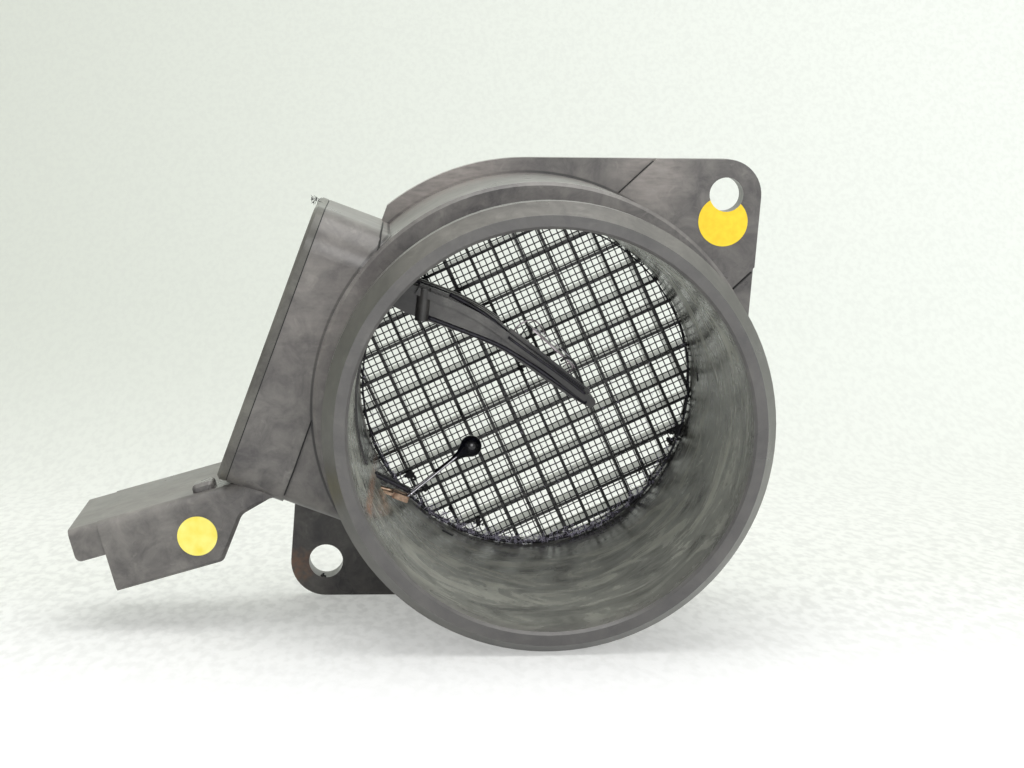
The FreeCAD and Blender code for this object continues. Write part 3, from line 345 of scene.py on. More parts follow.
rusted = add(tree, "ShaderNodeMix", {"Factor": rust_cut.outputs[0], "A": bored.outputs["Result"],
                                     "B": linear("#97715a")}, data_type="RGBA")
tree.links.new(rusted.outputs["Result"], surface.inputs["Base Color"])
gloss = add(tree, "ShaderNodeMapRange", {"Value": streaks.outputs["Fac"], "From Min": 0.35,
                                         "From Max": 0.65, "To Min": 0.16, "To Max": 0.34})
outer_gloss = surface.inputs["Roughness"].links[0].from_socket
both_gloss = add(tree, "ShaderNodeMix", {"Factor": inside.outputs[0], "A": outer_gloss,
                                         "B": gloss.outputs[0]})
tree.links.new(both_gloss.outputs["Result"], surface.inputs["Roughness"])
print("housing finish has", len(tree.nodes), "nodes")

# %% [markdown]
# The small pieces each have a plain finish: a drop of black epoxy, tinned wire, copper strip that
# has gone brown, a fired ceramic board, rolled aluminium and yellow paper. Every one of them still
# varies a little over its surface, because nothing real is one flat colour.

# %% Small finishes
def varied(name, light, dark, feature, rough, spread=0.06, bump_height=0.0, **constants):
    """A finish between two colours in patches of a given size, with the gloss varying too."""
    material, tree, surface, place = new_finish(name, **constants)
    patches = add(tree, "ShaderNodeTexNoise", {"Vector": place, "Scale": 1 / feature,
                                               "Detail": 4.0})
    spread_out = add(tree, "ShaderNodeMapRange", {"Value": patches.outputs["Fac"],
                                                  "From Min": 0.35, "From Max": 0.65})
    colour = add(tree, "ShaderNodeMix", {"Factor": spread_out.outputs[0], "A": linear(dark),
                                         "B": linear(light)}, data_type="RGBA")
    tree.links.new(colour.outputs["Result"], surface.inputs["Base Color"])
    gloss = add(tree, "ShaderNodeMapRange", {"Value": patches.outputs["Fac"],
                                             "To Min": rough - spread, "To Max": rough + spread})
    tree.links.new(gloss.outputs[0], surface.inputs["Roughness"])
    if bump_height:
        bump = add(tree, "ShaderNodeBump", {"Height": patches.outputs["Fac"], "Strength": 0.6,
                                            "Distance": bump_height})
        tree.links.new(bump.outputs[0], surface.inputs["Normal"])
    return material


finishes = {
    "epoxy_drop": varied("black_epoxy_drop", "#15151f", "#08080d", 2 * MM, rough=0.10, spread=0.03,
                         IOR=1.55),
    "tinned_wire": varied("tinned_wire", "#d8d6dc", "#a6a4ac", 0.8 * MM, rough=0.25, Metallic=1.0),
    "copper_strip": varied("tarnished_copper_strip", "#c9ae97", "#6f5546", 1.0 * MM, rough=0.38,
                           spread=0.1, bump_height=0.02 * MM, Metallic=1.0),
    "brass_blade": varied("tinned_brass_blade", "#cdc4a4", "#9d9272", 1.5 * MM, rough=0.3,
                          Metallic=1.0),
    "rubber": varied("nitrile_rubber", "#2b2b2c", "#191919", 1.5 * MM, rough=0.6, spread=0.08,
                     bump_height=0.02 * MM),
    "adhesive": varied("silicone_adhesive_and_painted_shadow", "#232322", "#121212", 1.0 * MM, rough=0.55, spread=0.1,
                       bump_height=0.03 * MM),
    "ceramic": varied("fired_alumina", "#dcd8ca", "#c3beae", 1.2 * MM, rough=0.5, spread=0.08),
    "aluminium": varied("rolled_aluminium", "#c8cbcf", "#9fa3a8", 3 * MM, rough=0.35, spread=0.08,
                        Metallic=1.0),
    "epoxy_case": varied("moulded_epoxy_case", "#2a2a2c", "#1b1b1d", 0.6 * MM, rough=0.45,
                         spread=0.08),
    "capacitor": varied("fired_capacitor", "#a58a68", "#846a4c", 0.6 * MM, rough=0.45,
                        spread=0.08),
    "paper": varied("yellow_paper_disc", "#ffdf30", "#fbd322", 1.4 * MM, rough=0.55,
                    bump_height=0.01 * MM),
    "faded_paper": varied("faded_paper_disc", "#fff283", "#f6e252", 3.0 * MM, rough=0.55,
                          bump_height=0.01 * MM),
    "screen_wire": varied("coated_steel_wire", "#2c2d30", "#0f1011", 0.9 * MM, rough=0.42,
                          spread=0.12),
    "film": varied("metal_film", "#b7aeb4", "#6d6468", 0.9 * MM, rough=0.28, spread=0.08,
                   Metallic=0.8),
    "lint": varied("grey_lint", "#d8d3e3", "#8a859c", 0.7 * MM, rough=0.8, spread=0.1),
    "dark_edge": varied("sooty_steel_edge_and_painted_shade", "#2b2835", "#100f14", 0.7 * MM, rough=0.5,
                        spread=0.12),
    "soot": varied("soot_clump", "#2b2a2e", "#0b0b0d", 0.4 * MM, rough=0.75, spread=0.1,
                   bump_height=0.05 * MM),
}
NODE_FINISH = {
    "housing": housing_finish, "box_cover": cover_finish, "sensor_arm": arm_finish,
    "film_clip_1": arm_finish, "film_clip_2": arm_finish, "screen_grid": grid_finish,
    "screen_ring": grid_finish, "cover_seal": finishes["adhesive"],
    "flange_seal": finishes["rubber"], "temperature_bead": finishes["epoxy_drop"],
    "bead_lead_1": finishes["tinned_wire"], "bead_lead_2": finishes["tinned_wire"],
    "lead_terminal_1": finishes["copper_strip"], "lead_terminal_2": finishes["copper_strip"],
    "heater_film": finishes["film"], "base_plate": finishes["aluminium"],
    "circuit_board": finishes["ceramic"], "control_chip": finishes["epoxy_case"],
    "voltage_regulator": finishes["epoxy_case"], "capacitor_1": finishes["capacitor"],
    "capacitor_2": finishes["capacitor"], "sticker_flange": finishes["paper"],
    "sticker_socket": finishes["faded_paper"], "wire_screen": finishes["screen_wire"],
}
for name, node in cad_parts.items():
    node.data.materials.clear()
    node.data.materials.append(NODE_FINISH.get(name, finishes["brass_blade"]))
print("finishes on", len(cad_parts), "solids")

# %% [markdown]
# A new piece starts as an empty bmesh and ends as an object at the origin that rides on the one
# body the part has. This helper does the end of that work each time.

# %% From bmesh to piece
def piece(name, shape, finish, replaced=(), smooth=True):
    bmesh.ops.recalc_face_normals(shape, faces=shape.faces[:])
    mesh = bpy.data.meshes.new(name)
    shape.to_mesh(mesh)
    shape.free()
    mesh.materials.append(finish)
    if smooth:
        mesh.shade_smooth()
    made = bpy.data.objects.new(name, mesh)
    bpy.context.scene.collection.objects.link(made)
    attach(made, "root")
    if replaced:
        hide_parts(*replaced)
    print(name, "has", len(mesh.polygons), "faces")


# %% [markdown]
# The screen is plain-woven wire: each wire passes over one crossing wire and under the next, and
# its neighbours do the opposite. A wire starts as a thin five-sided rod, is cut into short lengths
# and bent into a wave. The rods are cut to the chords of the round frame.

# %% Woven wire screen
SCREEN_PITCH = 1.31 * MM
SCREEN_WIRE = 0.125 * MM
SCREEN_SWING = 0.9
SCREEN_RADIUS = 34.6 * MM
SCREEN_RIM = 0.4 * MM
SCREEN_TURN = math.radians(24.1)
SCREEN_LEVEL = -8.62 * MM
SHIFT_ACROSS, SHIFT_UP = 1.20 * MM, 0.175 * MM


def woven_wire(offset, number, upright):
    """One wave-bent wire, a given distance from the middle of the screen, as a small mesh."""
    half = math.sqrt(SCREEN_RADIUS ** 2 - offset ** 2)
    rod = bmesh.new()
    bmesh.ops.create_cone(rod, cap_ends=True, segments=5, radius1=SCREEN_WIRE,
                          radius2=SCREEN_WIRE, depth=2 * half)
    lengthwise = [e for e in rod.edges if abs((e.verts[0].co - e.verts[1].co).z) > half]
    steps = max(2, round(4 * half / SCREEN_PITCH))
    bmesh.ops.subdivide_edges(rod, edges=lengthwise, cuts=steps - 1, use_grid_fill=True)
    start = SHIFT_UP if upright else SHIFT_ACROSS
    for v in rod.verts:
        turns = (v.co.z - start) / SCREEN_PITCH + number
        lift = SCREEN_WIRE * SCREEN_SWING * math.cos(math.pi * turns) * (1 if upright else -1)
        v.co += Vector((offset, lift, 0))
    if not upright:
        bmesh.ops.rotate(rod, matrix=Matrix.Rotation(math.radians(90), 3, "Y"), verts=rod.verts[:])
        bmesh.ops.scale(rod, vec=(1, 1, -1), verts=rod.verts[:])
    mesh = bpy.data.meshes.new("wire")
    rod.to_mesh(mesh)
    rod.free()
    return mesh


screen = bmesh.new()
for upright, shift in ((True, SHIFT_ACROSS), (False, SHIFT_UP)):
    reach = int(SCREEN_RADIUS / SCREEN_PITCH) + 1
    for number in range(-reach, reach + 1):
        offset = number * SCREEN_PITCH + shift
        if abs(offset) < SCREEN_RADIUS - SCREEN_RIM:
            mesh = woven_wire(offset, number, upright)
            screen.from_mesh(mesh)
            bpy.data.meshes.remove(mesh)
turn = Matrix.Translation((0, SCREEN_LEVEL, 0)) @ Matrix.Rotation(-SCREEN_TURN, 4, "Y")
bmesh.ops.transform(screen, matrix=turn, verts=screen.verts[:])
piece("woven_screen", screen, finishes["screen_wire"], ["wire_screen"])

# %% [markdown]
# The temperature bead is a drop of black epoxy round the tip of two wires. On the real part it is
# dipped, so it is a ball that runs out into a cone and a thin sleeve. Half its outline is a row of
# points on an edge chain, and one full spin turns that into a closed, smooth skin.

# %% Temperature bead
BEAD_CENTRE = Vector((-12.25, -30.0, -9.63)) * MM
BEAD_RADIUS = 2.1 * MM
BEAD_SHOULDER = (-0.62, 0.36)
BEAD_NECK, BEAD_NECK_RADIUS = 4.55 * MM, 0.4 * MM
BEAD_SLEEVE, BEAD_SLEEVE_RADIUS = 8.6 * MM, 0.3 * MM
BEAD_TURN = math.radians(35.7)
BALL_ARC, BALL_STEPS = math.radians(130), 16
SPIN_STEPS = 32

drop = bmesh.new()
outline = [drop.verts.new((-BEAD_SLEEVE, 0, 0)),
           drop.verts.new((-BEAD_SLEEVE, BEAD_SLEEVE_RADIUS, 0)),
           drop.verts.new((-BEAD_NECK, BEAD_NECK_RADIUS, 0)),
           drop.verts.new((BEAD_SHOULDER[0] * BEAD_NECK, BEAD_SHOULDER[1] * BEAD_RADIUS, 0))]
for step in range(BALL_STEPS + 1):
    around = BALL_ARC * (1 - step / BALL_STEPS)
    outline.append(drop.verts.new((BEAD_RADIUS * math.cos(around),
                                   BEAD_RADIUS * math.sin(around), 0)))
chain = [drop.edges.new(pair) for pair in zip(outline, outline[1:])]
bmesh.ops.spin(drop, geom=outline + chain, cent=(0, 0, 0), axis=(1, 0, 0),
               angle=math.radians(360), steps=SPIN_STEPS, use_merge=True)
bmesh.ops.remove_doubles(drop, verts=drop.verts[:], dist=0.005 * MM)
bead_place = Matrix.Translation(BEAD_CENTRE) @ Matrix.Rotation(-BEAD_TURN, 4, "Y")
bmesh.ops.transform(drop, matrix=bead_place, verts=drop.verts[:])
piece("epoxy_bead", drop, finishes["epoxy_drop"], ["temperature_bead"])

# %% [markdown]
# Round the lower half of the screen runs a dark edge where the wires were cut and folded, and dust
# fibres hang on the cut ends. The folded edge is a thin ring that swells towards the bottom. Each
# fibre is two thin cones that meet at an angle, and a seeded random choice places them.

# %% Folded screen edge and dust fibres
EDGE_RADIUS = 33.35 * MM
EDGE_LEVEL = -9.35 * MM
EDGE_THICKNESS = 0.36 * MM
EDGE_STEPS = 160
EDGE_FIBRES, SCREEN_FIBRES = 620, 90
EDGE_FIBRE_THICKNESS, SCREEN_FIBRE_THICKNESS = 0.055 * MM, 0.045 * MM
EDGE_FIBRE_SPREAD = 34
seeded = random.Random(7)


def around_bore(degrees, radius, depth):
    turn = math.radians(degrees)
    return Vector((radius * math.cos(turn), depth, radius * math.sin(turn)))


fold = bmesh.new()
bmesh.ops.create_circle(fold, cap_ends=False, segments=8, radius=EDGE_THICKNESS)
bmesh.ops.translate(fold, vec=(EDGE_RADIUS, 0, 0), verts=fold.verts[:])
bmesh.ops.spin(fold, geom=fold.verts[:] + fold.edges[:], cent=(0, 0, 0), axis=(0, 1, 0),
               angle=math.radians(360), steps=EDGE_STEPS, use_merge=True)
for v in fold.verts:
    out = Vector((v.co.x, 0, v.co.z)).normalized()
    ring_point = out * EDGE_RADIUS
    swell = 0.45 + 0.55 * max(0.0, -out.z) ** 0.7 + seeded.uniform(-0.08, 0.08)
    v.co = ring_point + (v.co - ring_point) * swell + Vector((0, EDGE_LEVEL, 0))
bmesh.ops.remove_doubles(fold, verts=fold.verts[:], dist=0.002 * MM)
piece("folded_screen_edge", fold, finishes["dark_edge"])


def add_fibre(shape, at, length, thickness):
    """Two thin three-sided cones that meet at an angle."""
    swing = Matrix.Rotation(seeded.uniform(0, math.tau), 4, "Z")
    lean = swing @ Matrix.Rotation(seeded.uniform(0.7, 2.4), 4, "X")
    for bend in (0.0, seeded.uniform(0.5, 1.4)):
        tilt = lean @ Matrix.Rotation(bend, 4, "X") @ Matrix.Translation((0, 0, length / 4))
        bmesh.ops.create_cone(shape, cap_ends=True, segments=3, radius1=thickness,
                              radius2=thickness * 0.5, depth=length / 2,
                              matrix=Matrix.Translation(at) @ tilt)


fibres = bmesh.new()
for number in range(EDGE_FIBRES):
    degrees = -90 + seeded.gauss(0, EDGE_FIBRE_SPREAD)
    reach = EDGE_RADIUS - abs(seeded.gauss(0, 1.0)) * MM
    add_fibre(fibres, around_bore(degrees, reach, EDGE_LEVEL - seeded.uniform(0.1, 0.7) * MM),
              seeded.uniform(0.7, 2.2) * MM, EDGE_FIBRE_THICKNESS)
for number in range(SCREEN_FIBRES):
    add_fibre(fibres, Vector((seeded.uniform(-4, 27) * MM, EDGE_LEVEL - 0.1 * MM,
                              seeded.uniform(-24, 4) * MM)),
              seeded.uniform(0.6, 1.6) * MM, SCREEN_FIBRE_THICKNESS)
piece("dust_fibres", fibres, finishes["lint"], smooth=False)

# %% [markdown]
# A few clumps of soot sit on the screen, one lies in the lower bolt hole, and one curl of lint
# clings to the corner of the box. A clump is a handful of crumbs, each a small sphere whose points
# are pushed in and out, and the clump lies flat against the wires.

# %% Soot clumps and the curl on the box
SCREEN_FRONT = EDGE_LEVEL / MM
CLUMPS = (((-1.1, SCREEN_FRONT, 2.8), 0.85), ((-9.9, SCREEN_FRONT, -29.3), 1.0),
          ((-23.6, SCREEN_FRONT, -19.2), 1.3), ((-21.0, SCREEN_FRONT, -21.6), 1.0),
          ((-15.5, SCREEN_FRONT, -26.5), 0.8), ((31.0, SCREEN_FRONT, -10.3), 1.5),
          ((23.5, SCREEN_FRONT, -18.6), 0.6), ((29.6, SCREEN_FRONT, -12.6), 0.9),
          ((-42.1, -4.6, -40.9), 0.5))
CRUMBS = 16
CRUMB_SHAPE = (1.0, 0.5, 0.9)
CURL_PLACE = Vector((-41.4, -43.5, 39.0)) * MM
CURL_FIBRES = 16

soot = bmesh.new()
for middle, reach in CLUMPS:
    for number in range(CRUMBS):
        size = seeded.uniform(0.2, 0.46) * reach * MM
        crumb = bmesh.ops.create_icosphere(soot, subdivisions=1, radius=size)["verts"]
        for v in crumb:
            v.co *= seeded.uniform(0.6, 1.3)
        bmesh.ops.scale(soot, vec=CRUMB_SHAPE, verts=crumb)
        aside = Vector([seeded.gauss(0, share) for share in (0.42, 0.08, 0.36)]) * reach
        bmesh.ops.translate(soot, vec=(Vector(middle) + aside) * MM, verts=crumb)
piece("soot_clumps", soot, finishes["soot"], smooth=False)

curl = bmesh.new()
for number in range(CURL_FIBRES):
    aside = Vector([seeded.uniform(-0.6, 0.6) * MM for axis in "xyz"])
    add_fibre(curl, CURL_PLACE + aside, seeded.uniform(0.9, 2.2) * MM, EDGE_FIBRE_THICKNESS)
piece("lint_curl", curl, finishes["soot"], smooth=False)

# %% [markdown]
# The heated film hangs between two small bent holders on the arm. They are thin wires, so each is a
# curve through a few points with a round bevel, turned into a mesh at the end. A row in the list
# gives a wire's name, radius, finish, slot, the solid it replaces and its points, in millimetres.

# %% Film holders
def bent_wire(name, wire_radius, finish, slot, replaced, points):
    """A smooth wire through points in millimetres, as a piece."""
    line = bpy.data.curves.new(name + "_line", "CURVE")
    line.dimensions = "3D"
    line.bevel_depth, line.bevel_resolution, line.use_fill_caps = wire_radius * MM, 2, True
    spline = line.splines.new("NURBS")
    spline.points.add(len(points) - 1)
    spline.order_u, spline.use_endpoint_u, spline.resolution_u = 3, True, 6
    for target, place_mm in zip(spline.points, points):
        target.co = (*[value * MM for value in place_mm], 1.0)
    holder = bpy.data.objects.new(name + "_line", line)
    bpy.context.scene.collection.objects.link(holder)
    bpy.context.view_layer.update()
    raw = bpy.data.meshes.new_from_object(holder)
    shape = bmesh.new()
    shape.from_mesh(raw)
    bmesh.ops.remove_doubles(shape, verts=shape.verts[:], dist=0.001 * MM)
    bpy.data.objects.remove(holder)
    bpy.data.meshes.remove(raw)
    piece(name, shape, finishes[finish], replaced)


FILM_WIRES = (
    ("near_film_holder", 0.16, "film", "film_metal", ["film_clip_1"],
     [(-4.9, -34.0, 12.0), (-4.1, -34.2, 13.6), (-2.9, -34.2, 14.7), (-1.2, -34.0, 15.5),
      (0.0, -33.6, 15.3), (1.1, -33.2, 14.2), (2.0, -33.0, 12.5)]),
    ("crossing_film_wire", 0.14, "screen_wire", "film_metal", (),
     [(-3.4, -34.4, 11.6), (-2.0, -34.2, 13.8), (-1.2, -34.0, 14.4), (-0.3, -33.8, 13.2),
      (-1.6, -33.6, 11.8)]),
    ("film_edge_wire", 0.10, "tinned_wire", "film_metal", (),
     [(-0.2, -34.4, 14.0), (2.4, -34.2, 12.1), (5.0, -34.2, 9.8), (7.3, -34.0, 7.6)]),
    ("far_film_holder", 0.24, "screen_wire", "film_metal", ["film_clip_2"],
     [(4.9, -34.0, 7.4), (5.7, -34.2, 8.3), (7.3, -34.2, 7.7), (8.1, -34.0, 5.9),
      (8.9, -34.0, 3.6), (9.6, -34.0, 1.9)]),
    ("far_film_loop", 0.13, "film", "film_metal", (),
     [(5.2, -34.4, 6.3), (6.1, -34.5, 7.2), (7.2, -34.4, 6.6), (6.9, -34.3, 5.3),
      (5.9, -34.2, 5.2)]),
)
for row in FILM_WIRES:
    bent_wire(*row)

# %% [markdown]
# A row of fine ridges runs along the arm's edge. Each ridge is a small cube, stretched and leaned
# like the arm, at its share of the way from the rail's root to its tip.

# %% Ridged rail
RAIL_START, RAIL_END = Vector((-5.4, -36.6, 13.35)), Vector((9.2, -36.6, 2.35))
RIDGES = 46
RIDGE_SIZE = (0.16 * MM, 0.8 * MM, 0.42 * MM)

rail = bmesh.new()
rail_direction = (RAIL_END - RAIL_START).normalized()
rail_lean = Matrix.Rotation(math.atan2(-rail_direction.z, rail_direction.x), 4, "Y")
for number in range(RIDGES):
    at = RAIL_START.lerp(RAIL_END, number / (RIDGES - 1)) * MM
    ridge = bmesh.ops.create_cube(rail, size=1.0)["verts"]
    bmesh.ops.scale(rail, vec=RIDGE_SIZE, verts=ridge)
    bmesh.ops.transform(rail, matrix=Matrix.Translation(at) @ rail_lean, verts=ridge)
piece("ridged_rail", rail, finishes["dark_edge"], smooth=False)

# %% [markdown]
# Dark ribs follow the arm's upper edge and its root. Along the lower edge a dark rib is painted
# shade on the rounded edge, and a dark wire in the groove under the ridges is a painted shadow.
# They bend with the arm, so they are wires through points on its face. Painted shadows lie in the
# long joints
# of the housing in the same way: where the box meets its neck and at the steps of the flange. Two
# small dark slits on the bore's wall are made the same way.

# %% Arm ribs, painted shade on the arm and painted shadows in the joints
FACE_LINES = (
    ("upper_arm_rib", 0.42, "dark_edge", "arm_plastic", (),
     [(-16.4, -35.7, 20.6), (-14.5, -35.8, 19.6), (-11.4, -35.8, 17.9), (-8.4, -35.8, 15.7),
      (-5.6, -35.8, 13.3)]),
    ("root_arm_rib", 0.3, "dark_edge", "arm_plastic", (),
     [(-23.4, -30.3, 22.9), (-21.2, -30.3, 22.1), (-18.1, -30.3, 20.9), (-15.6, -30.3, 19.8)]),
    # Painted shadow: a dark wire in the groove under the ridges.
    ("arm_groove_shadow", 0.26, "dark_edge", "arm_plastic", (),
     [(-5.4, -37.1, 12.5), (-3.2, -37.1, 10.8), (0.7, -37.1, 8.0), (4.5, -37.1, 5.3),
      (8.3, -37.1, 2.3), (9.3, -37.1, 1.5)]),
    # Painted shade: a dark rib on the arm's lower rounded edge.
    ("lower_arm_edge_shade", 0.42, "dark_edge", "arm_plastic", (),
     [(-20.6, -36.0, 16.3), (-18.3, -36.0, 15.4), (-14.5, -36.0, 13.9), (-10.7, -36.0, 12.4),
      (-6.9, -36.0, 10.8), (-3.1, -36.0, 8.5), (2.7, -36.0, 4.6), (9.6, -36.0, -0.5)]),
    # Painted shadows: dark lines in the box joints and at the flange steps.
    ("shadow_in_lower_box_joint", 0.15, "adhesive", None, (),
     [(-42.5, -45.6, -1.8), (-44.2, -45.6, -6.4), (-45.7, -45.65, -10.6), (-46.5, -45.65, -12.6),
      (-47.2, -45.5, -14.4), (-47.8, -44.9, -16.0)]),
    ("shadow_in_upper_box_joint", 0.16, "adhesive", None, (),
     [(-29.9, -45.5, 29.8), (-29.7, -43.5, 30.1), (-29.5, -42.1, 31.5), (-29.4, -41.5, 32.3),
      (-29.2, -38.4, 33.2), (-29.1, -29.8, 33.1), (-29.0, -12.0, 32.75)]),
    ("shadow_at_long_flange_step", 0.2, "adhesive", None, (),
     [(26.4, -4.2, 44.6), (22.9, -4.2, 41.5), (19.4, -4.2, 38.2)]),
    ("shadow_at_short_flange_step", 0.2, "adhesive", None, (),
     [(47.0, -3.9, 21.7), (45.1, -3.9, 19.9), (43.2, -3.9, 18.2)]),
    ("dark_slit_low", 0.3, "soot", None, (),
     [(-17.6, -17.2, -29.1), (-16.6, -17.2, -29.7), (-15.5, -17.0, -30.3)]),
    ("dark_slit_right", 0.22, "soot", None, (),
     [(33.95, -17.6, 4.2), (34.0, -17.6, 2.6), (34.0, -17.8, 1.0)]),
)
for row in FACE_LINES:
    bent_wire(*row)

# %% [markdown]
# The wires of the bead are soldered to the strips, and a short copper leg bends down from them. A
# dark bar above the strips is painted shade in the slot between them and the wall. Solder is a
# small uneven ball; the dark bar is a cube that is stretched and leaned like the box.

# %% Solder and painted shade above the terminals
SOLDER_PLACES = ((-23.95, -31.1, -18.75), (-23.95, -28.9, -18.75))
SOLDER_RADIUS = 0.55 * MM
SLOT_SHADE_SIZE = (9.4 * MM, 3.2 * MM, 0.7 * MM)
SLOT_SHADE_EDGE = 0.15 * MM
SLOT_SHADE_CENTRE = Vector((-28.5, -28.6, -16.3)) * MM
SLOT_SHADE_LEAN = math.radians(27)

solder = bmesh.new()
for at in SOLDER_PLACES:
    blob = bmesh.ops.create_icosphere(solder, subdivisions=2, radius=SOLDER_RADIUS)["verts"]
    for v in blob:
        v.co *= seeded.uniform(0.85, 1.15)
    bmesh.ops.translate(solder, vec=Vector(at) * MM, verts=blob)
piece("solder", solder, finishes["tinned_wire"])

bent_wire("copper_leg", 0.42, "copper_strip", "terminal_metal", (),
          [(-27.6, -32.0, -17.9), (-29.9, -32.2, -17.1), (-30.7, -33.0, -17.2),
           (-30.9, -35.0, -18.0), (-30.6, -38.5, -18.6)])

# Painted shade: a dark bar in the slot above the strips.
slot_shade = bmesh.new()
bmesh.ops.create_cube(slot_shade, size=1.0)
bmesh.ops.scale(slot_shade, vec=SLOT_SHADE_SIZE, verts=slot_shade.verts[:])
bmesh.ops.bevel(slot_shade, geom=slot_shade.edges[:], offset=SLOT_SHADE_EDGE, segments=2, profile=0.5,
                affect="EDGES", material=-1)
slot_shade_place = Matrix.Translation(SLOT_SHADE_CENTRE) @ Matrix.Rotation(SLOT_SHADE_LEAN, 4, "Y")
bmesh.ops.transform(slot_shade, matrix=slot_shade_place, verts=slot_shade.verts[:])
piece("terminal_slot_shade", slot_shade, finishes["dark_edge"])

# %% [markdown]
# The stage is a pale sheet that rises behind the part in one soft curve. The part leans back a
# little on it, because it rests on the hose bead and on the flange's lower edge. The sheet starts
# as one edge that is drawn out, spun up and drawn out again.

# %% Stage sheet
FLOOR_POINT = Vector((0, -67 * MM, -40.2 * MM))
FLOOR_SLOPE = math.radians(4.75)
SHEET_HALF_WIDTH = 1.6
SHEET_FRONT, SHEET_BACK = -1.6, 0.25
BEND_RADIUS, BEND_ANGLE, BEND_STEPS = 0.30, math.radians(84), 24
SHEET_RISE = (0, 0.1, 1.6)

sheet = bmesh.new()
front = [sheet.verts.new((x, SHEET_FRONT, 0)) for x in (-SHEET_HALF_WIDTH, SHEET_HALF_WIDTH)]
edge = sheet.edges.new(front)
level = bmesh.ops.extrude_edge_only(sheet, edges=[edge])["geom"]
bmesh.ops.translate(sheet, vec=(0, SHEET_BACK - SHEET_FRONT, 0),
                    verts=[g for g in level if isinstance(g, bmesh.types.BMVert)])
last_edge = [g for g in level if isinstance(g, bmesh.types.BMEdge)]
bend = bmesh.ops.spin(sheet, geom=last_edge, cent=(0, SHEET_BACK, BEND_RADIUS), axis=(1, 0, 0),
                      angle=BEND_ANGLE, steps=BEND_STEPS, use_merge=False)["geom_last"]
rise = bmesh.ops.extrude_edge_only(sheet, edges=[g for g in bend
                                                 if isinstance(g, bmesh.types.BMEdge)])
bmesh.ops.translate(sheet, vec=SHEET_RISE,
                    verts=[g for g in rise["geom"] if isinstance(g, bmesh.types.BMVert)])
lean = Matrix.Translation(FLOOR_POINT) @ Matrix.Rotation(-FLOOR_SLOPE, 4, "X")
bmesh.ops.transform(sheet, matrix=lean, verts=sheet.verts[:])
bmesh.ops.recalc_face_normals(sheet, faces=sheet.faces[:])
sheet_mesh = bpy.data.meshes.new("pale_sheet")
sheet.to_mesh(sheet_mesh)
sheet.free()
sheet_mesh.shade_smooth()
pale_sheet = bpy.data.objects.new("pale_sheet", sheet_mesh)
bpy.context.scene.collection.objects.link(pale_sheet)
print("sheet has", len(sheet_mesh.polygons), "faces")

# %% [markdown]
# The sheet is a pebbled paper, white in front; behind, painted shade makes it a little darker on
# the left than on the right. What the camera sees of it, straight or in a reflection, is partly its
# own colour without shadow, so that it stays pale and sheds no more light on the part.

# %% Stage paper
PEBBLE_SIZE = 1.8 * MM
PEBBLE_STRETCH = (1.0, 0.3, 1.0)
SEEN_SHARE = 0.45

sheet_finish, tree, surface, place = new_finish("pale_paper", Roughness=0.6)
spot = add(tree, "ShaderNodeSeparateXYZ", {"Vector": place})
depth = spot.outputs["Y"]
climb = add(tree, "ShaderNodeMapRange", {"Value": depth, "From Min": 0.12, "From Max": 0.38},
            interpolation_type="SMOOTHSTEP")
across = add(tree, "ShaderNodeMapRange", {"Value": spot.outputs["X"], "From Min": -0.35,
                                          "From Max": 0.35}, interpolation_type="SMOOTHSTEP")
# Painted shade: the backdrop is darker on the left than on the right.
wall_tone = add(tree, "ShaderNodeMix", {"Factor": across.outputs[0], "A": linear("#d0d4ca"),
                                        "B": linear("#f4f8f2")}, data_type="RGBA")
further = add(tree, "ShaderNodeMapRange", {"Value": depth, "From Min": -0.11, "From Max": 0.02})
floor_tone = add(tree, "ShaderNodeMix", {"Factor": further.outputs[0], "A": linear("#ffffff"),
                                         "B": linear("#f3f5ef")}, data_type="RGBA")
tone = add(tree, "ShaderNodeMix", {"Factor": climb.outputs[0], "A": floor_tone.outputs["Result"],
                                   "B": wall_tone.outputs["Result"]}, data_type="RGBA")
stretched = add(tree, "ShaderNodeVectorMath", {0: place, 1: PEBBLE_STRETCH}, operation="MULTIPLY")
pebbles = add(tree, "ShaderNodeTexNoise", {"Vector": stretched.outputs[0],
                                           "Scale": 1 / PEBBLE_SIZE, "Detail": 3.0})
dips = add(tree, "ShaderNodeMapRange", {"Value": pebbles.outputs["Fac"], "From Min": 0.42,
                                        "From Max": 0.62, "To Min": 0.0, "To Max": 0.3})
level_part = add(tree, "ShaderNodeMapRange", {"Value": depth, "From Min": 0.05, "From Max": 0.3,
                                              "To Min": 1.0, "To Max": 0.4})
bleached = add(tree, "ShaderNodeMapRange", {"Value": depth, "From Min": -0.12, "From Max": -0.02,
                                            "To Min": 0.1, "To Max": 1.0})
pebbly = add(tree, "ShaderNodeMath", {0: level_part.outputs[0], 1: bleached.outputs[0]},
             operation="MULTIPLY")
floor_dips = add(tree, "ShaderNodeMath", {0: dips.outputs[0], 1: pebbly.outputs[0]},
                 operation="MULTIPLY")
textured = add(tree, "ShaderNodeMix", {"Factor": floor_dips.outputs[0],
                                       "A": tone.outputs["Result"],
                                       "B": linear("#c0c1bd")}, data_type="RGBA")
tree.links.new(textured.outputs["Result"], surface.inputs["Base Color"])
glow = add(tree, "ShaderNodeEmission", {"Color": textured.outputs["Result"], "Strength": 1.0})
rays = add(tree, "ShaderNodeLightPath").outputs
seen = add(tree, "ShaderNodeMath", {0: rays["Is Camera Ray"], 1: rays["Is Glossy Ray"]},
           operation="MAXIMUM")
through = add(tree, "ShaderNodeMath", {0: seen.outputs[0], 1: rays["Is Transmission Ray"]},
              operation="MAXIMUM")
share = add(tree, "ShaderNodeMath", {0: through.outputs[0], 1: SEEN_SHARE}, operation="MULTIPLY")
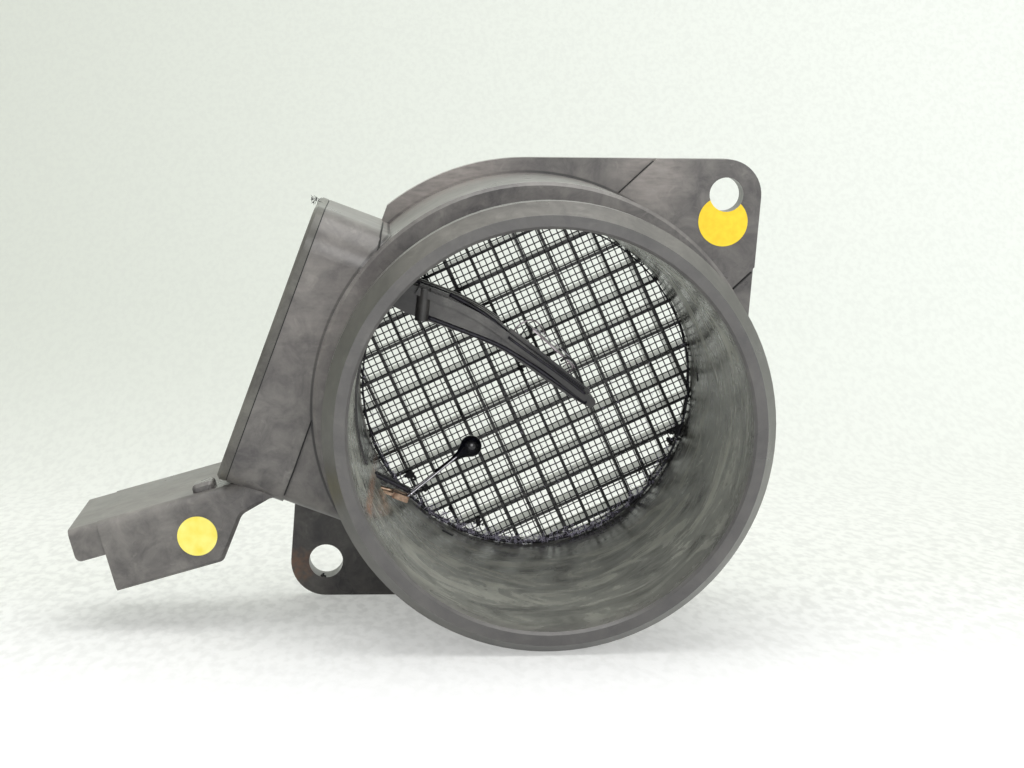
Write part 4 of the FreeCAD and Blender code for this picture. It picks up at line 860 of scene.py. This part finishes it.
blend = add(tree, "ShaderNodeMixShader", {0: share.outputs[0], 1: surface.outputs[0],
                                          2: glow.outputs[0]})
tree.links.new(blend.outputs[0], tree.nodes["Material Output"].inputs["Surface"])
sheet_mesh.materials.append(sheet_finish)
print("stage ready")

# %% [markdown]
# The light is that of a small photo tent: a pale surround that is brighter from above and from the
# right, a large soft lamp overhead, a weak one where a window would be and one on the camera's
# side. Each lamp aims at the middle of the flange. The camera stands where the photograph was taken
# from.

# %% Light and camera
SURROUND_SLANT = (0.45, 0.10, 0.80)
LAMPS = (("overhead", (0.02, -0.14, 0.75), 0.7, 3.4), ("window", (0.75, -0.45, 0.35), 0.5, 0.8),
         ("camera_side", (0.10, -0.90, 0.30), 0.4, 2.2))
CAMERA_PLACE = (-28.95 * MM, -422.6 * MM, 58.65 * MM)
CAMERA_AIM = Vector((0.0622, 0.9880, -0.1413))

world = bpy.data.worlds.new("tent")
bpy.context.scene.world = world
world.use_nodes = True
surround = world.node_tree
background = surround.nodes["Background"]
background.inputs["Color"].default_value = linear("#f0f2f0")
direction = add(surround, "ShaderNodeTexCoord").outputs["Generated"]
slant = add(surround, "ShaderNodeVectorMath", {0: direction, 1: SURROUND_SLANT},
            operation="DOT_PRODUCT")
level = add(surround, "ShaderNodeMapRange", {"Value": slant.outputs["Value"], "From Min": -0.6,
                                             "From Max": 0.9, "To Min": 0.35, "To Max": 1.0})
watched = add(surround, "ShaderNodeLightPath").outputs["Is Camera Ray"]
strength = add(surround, "ShaderNodeMath", {0: level.outputs[0], 1: watched}, operation="MAXIMUM")
surround.links.new(strength.outputs[0], background.inputs["Strength"])

for name, at, width, power in LAMPS:
    lamp_data = bpy.data.lights.new(name, "AREA")
    lamp_data.size, lamp_data.energy = width, power
    lamp = bpy.data.objects.new(name, lamp_data)
    lamp.location = at
    lamp.rotation_euler = (-Vector(at)).to_track_quat("-Z", "Y").to_euler()
    bpy.context.scene.collection.objects.link(lamp)

camera_data = bpy.data.cameras.new("camera")
camera_data.lens, camera_data.sensor_width = 72.0, 36.0
camera = bpy.data.objects.new("camera", camera_data)
camera.location = CAMERA_PLACE
camera.rotation_euler = CAMERA_AIM.to_track_quat("-Z", "Y").to_euler()
bpy.context.scene.collection.objects.link(camera)
bpy.context.scene.camera = camera
bpy.context.scene.view_settings.view_transform = "Standard"
print("light and camera ready")
